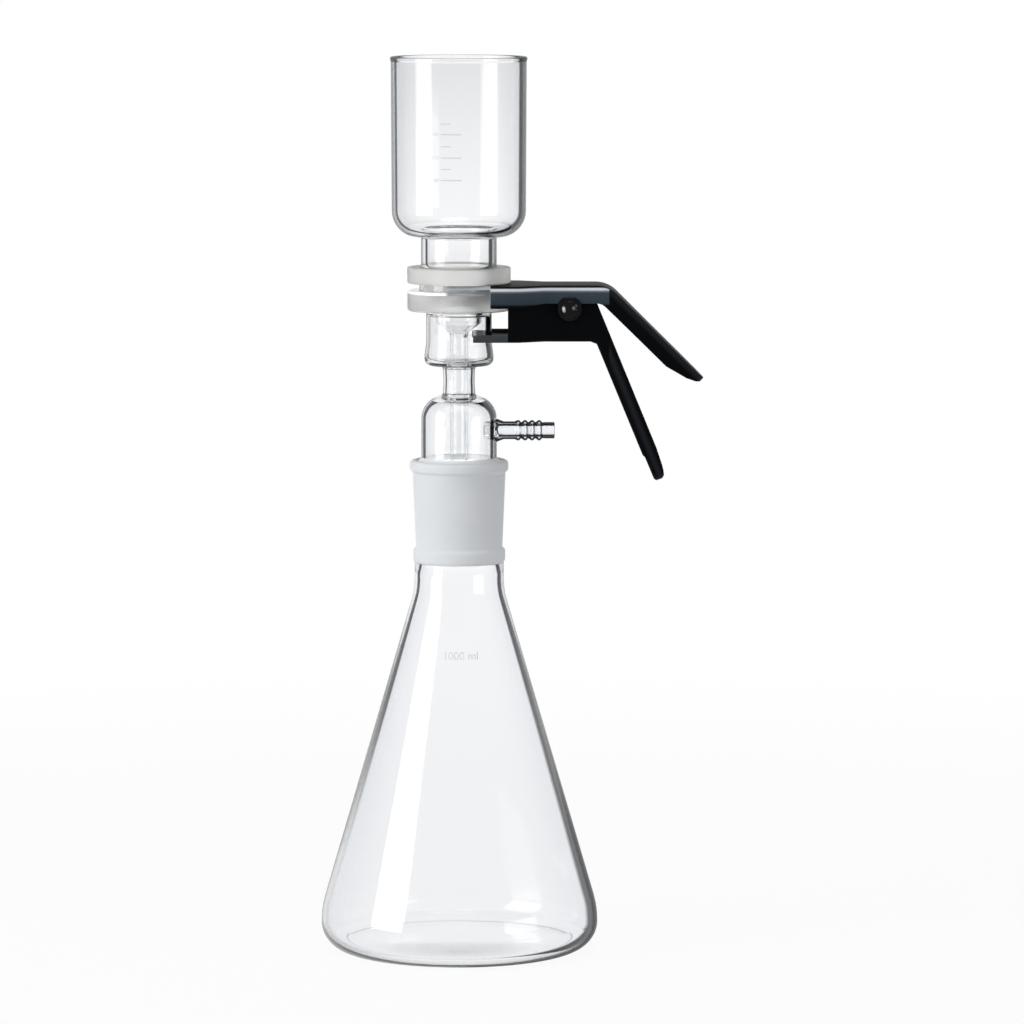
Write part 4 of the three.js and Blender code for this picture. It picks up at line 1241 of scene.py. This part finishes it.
# Metres and watts, and for the lens millimetres. Lamps have a place, a size and a power.
LAMPS = {
    "left_box": ((-1.42, -0.73, 0.6), (0.9, 1.4), 15),
    "right_box": ((1.36, -1.02, 0.21), (0.9, 0.42), 2),
    "top_box": ((0.1, -0.25, 1.35), (0.6, 0.4), 3),
}
MIDDLE = Vector((0, 0, 0.22))
CAMERA_PLACE, CAMERA_TILT = (0.0249, -2.750, 0.505), math.radians(6.17)
LENS, SENSOR, FARTHEST = 206.4, 36, 100
FLOOR_RADIUS, FLOOR_LIFT, FLOOR_SPAN = 30, 0.0009, (0.35, 1.1)
FLOOR_WHITE, WORLD_LIGHT = 0.93, 0.42  # shares of white in the floor by the part, and in the light


def seen_white(finish):
    """1 for what the camera sees, also in gloss and through glass, and 0 for the light itself."""
    seen = [
        finish.node("ShaderNodeLightPath", output=kind)
        for kind in ("Is Camera Ray", "Is Glossy Ray", "Is Transmission Ray")
    ]
    return finish.soft_step(seen[0] + seen[1] + seen[2], 0.0, 0.5)


def soft_floor():
    finish = Finish("studio_floor")
    spread = finish.node("ShaderNodeVectorMath", {"operation": "LENGTH"}, {0: finish.place()}, "Value")
    share = FLOOR_WHITE + finish.soft_step(spread, *FLOOR_SPAN) * (1 - FLOOR_WHITE)
    lit = finish.node("ShaderNodeBsdfDiffuse", None, {"Color": (0.9, 0.9, 0.9)})
    white = finish.node("ShaderNodeEmission", None, {"Color": (1, 1, 1), "Strength": 1.0})
    surface = finish.mixed(share * seen_white(finish), lit, white)
    edge = FLOOR_RADIUS / MM
    floor = turned("studio_floor", [[0, -1], [edge, -1], [edge, -2], [0, -2]], 96)
    made = piece("studio_floor", floor, finish.done(surface))
    made.location.z = FLOOR_LIFT


def white_world():
    world = bpy.data.worlds.new("studio")
    bpy.context.scene.world = world
    surround = Finish("studio", world)
    strength = WORLD_LIGHT + seen_white(surround) * (1 - WORLD_LIGHT)
    light = surround.node("ShaderNodeBackground", None, {"Color": (1, 1, 1), "Strength": strength})
    surround.node("ShaderNodeOutputWorld", None, {"Surface": light})


def soft_box(name, place, size, power):
    lamp = bpy.data.lights.new(name, "AREA")
    lamp.shape = "RECTANGLE"
    lamp.size, lamp.size_y = size
    lamp.energy = power
    made = placed(name, lamp)
    made.location = place
    made.rotation_euler = (MIDDLE - Vector(place)).to_track_quat("-Z", "Y").to_euler()


def studio_camera():
    lens = bpy.data.cameras.new("camera")
    lens.lens, lens.sensor_width, lens.clip_end = LENS, SENSOR, FARTHEST
    made = placed("camera", lens)
    made.location = CAMERA_PLACE
    made.rotation_euler = (math.pi / 2 - CAMERA_TILT, 0, 0)
    bpy.context.scene.camera = made


soft_floor()
white_world()
for name, lamp in LAMPS.items():
    soft_box(name, *lamp)
studio_camera()
bpy.context.scene.view_settings.view_transform = "Standard"
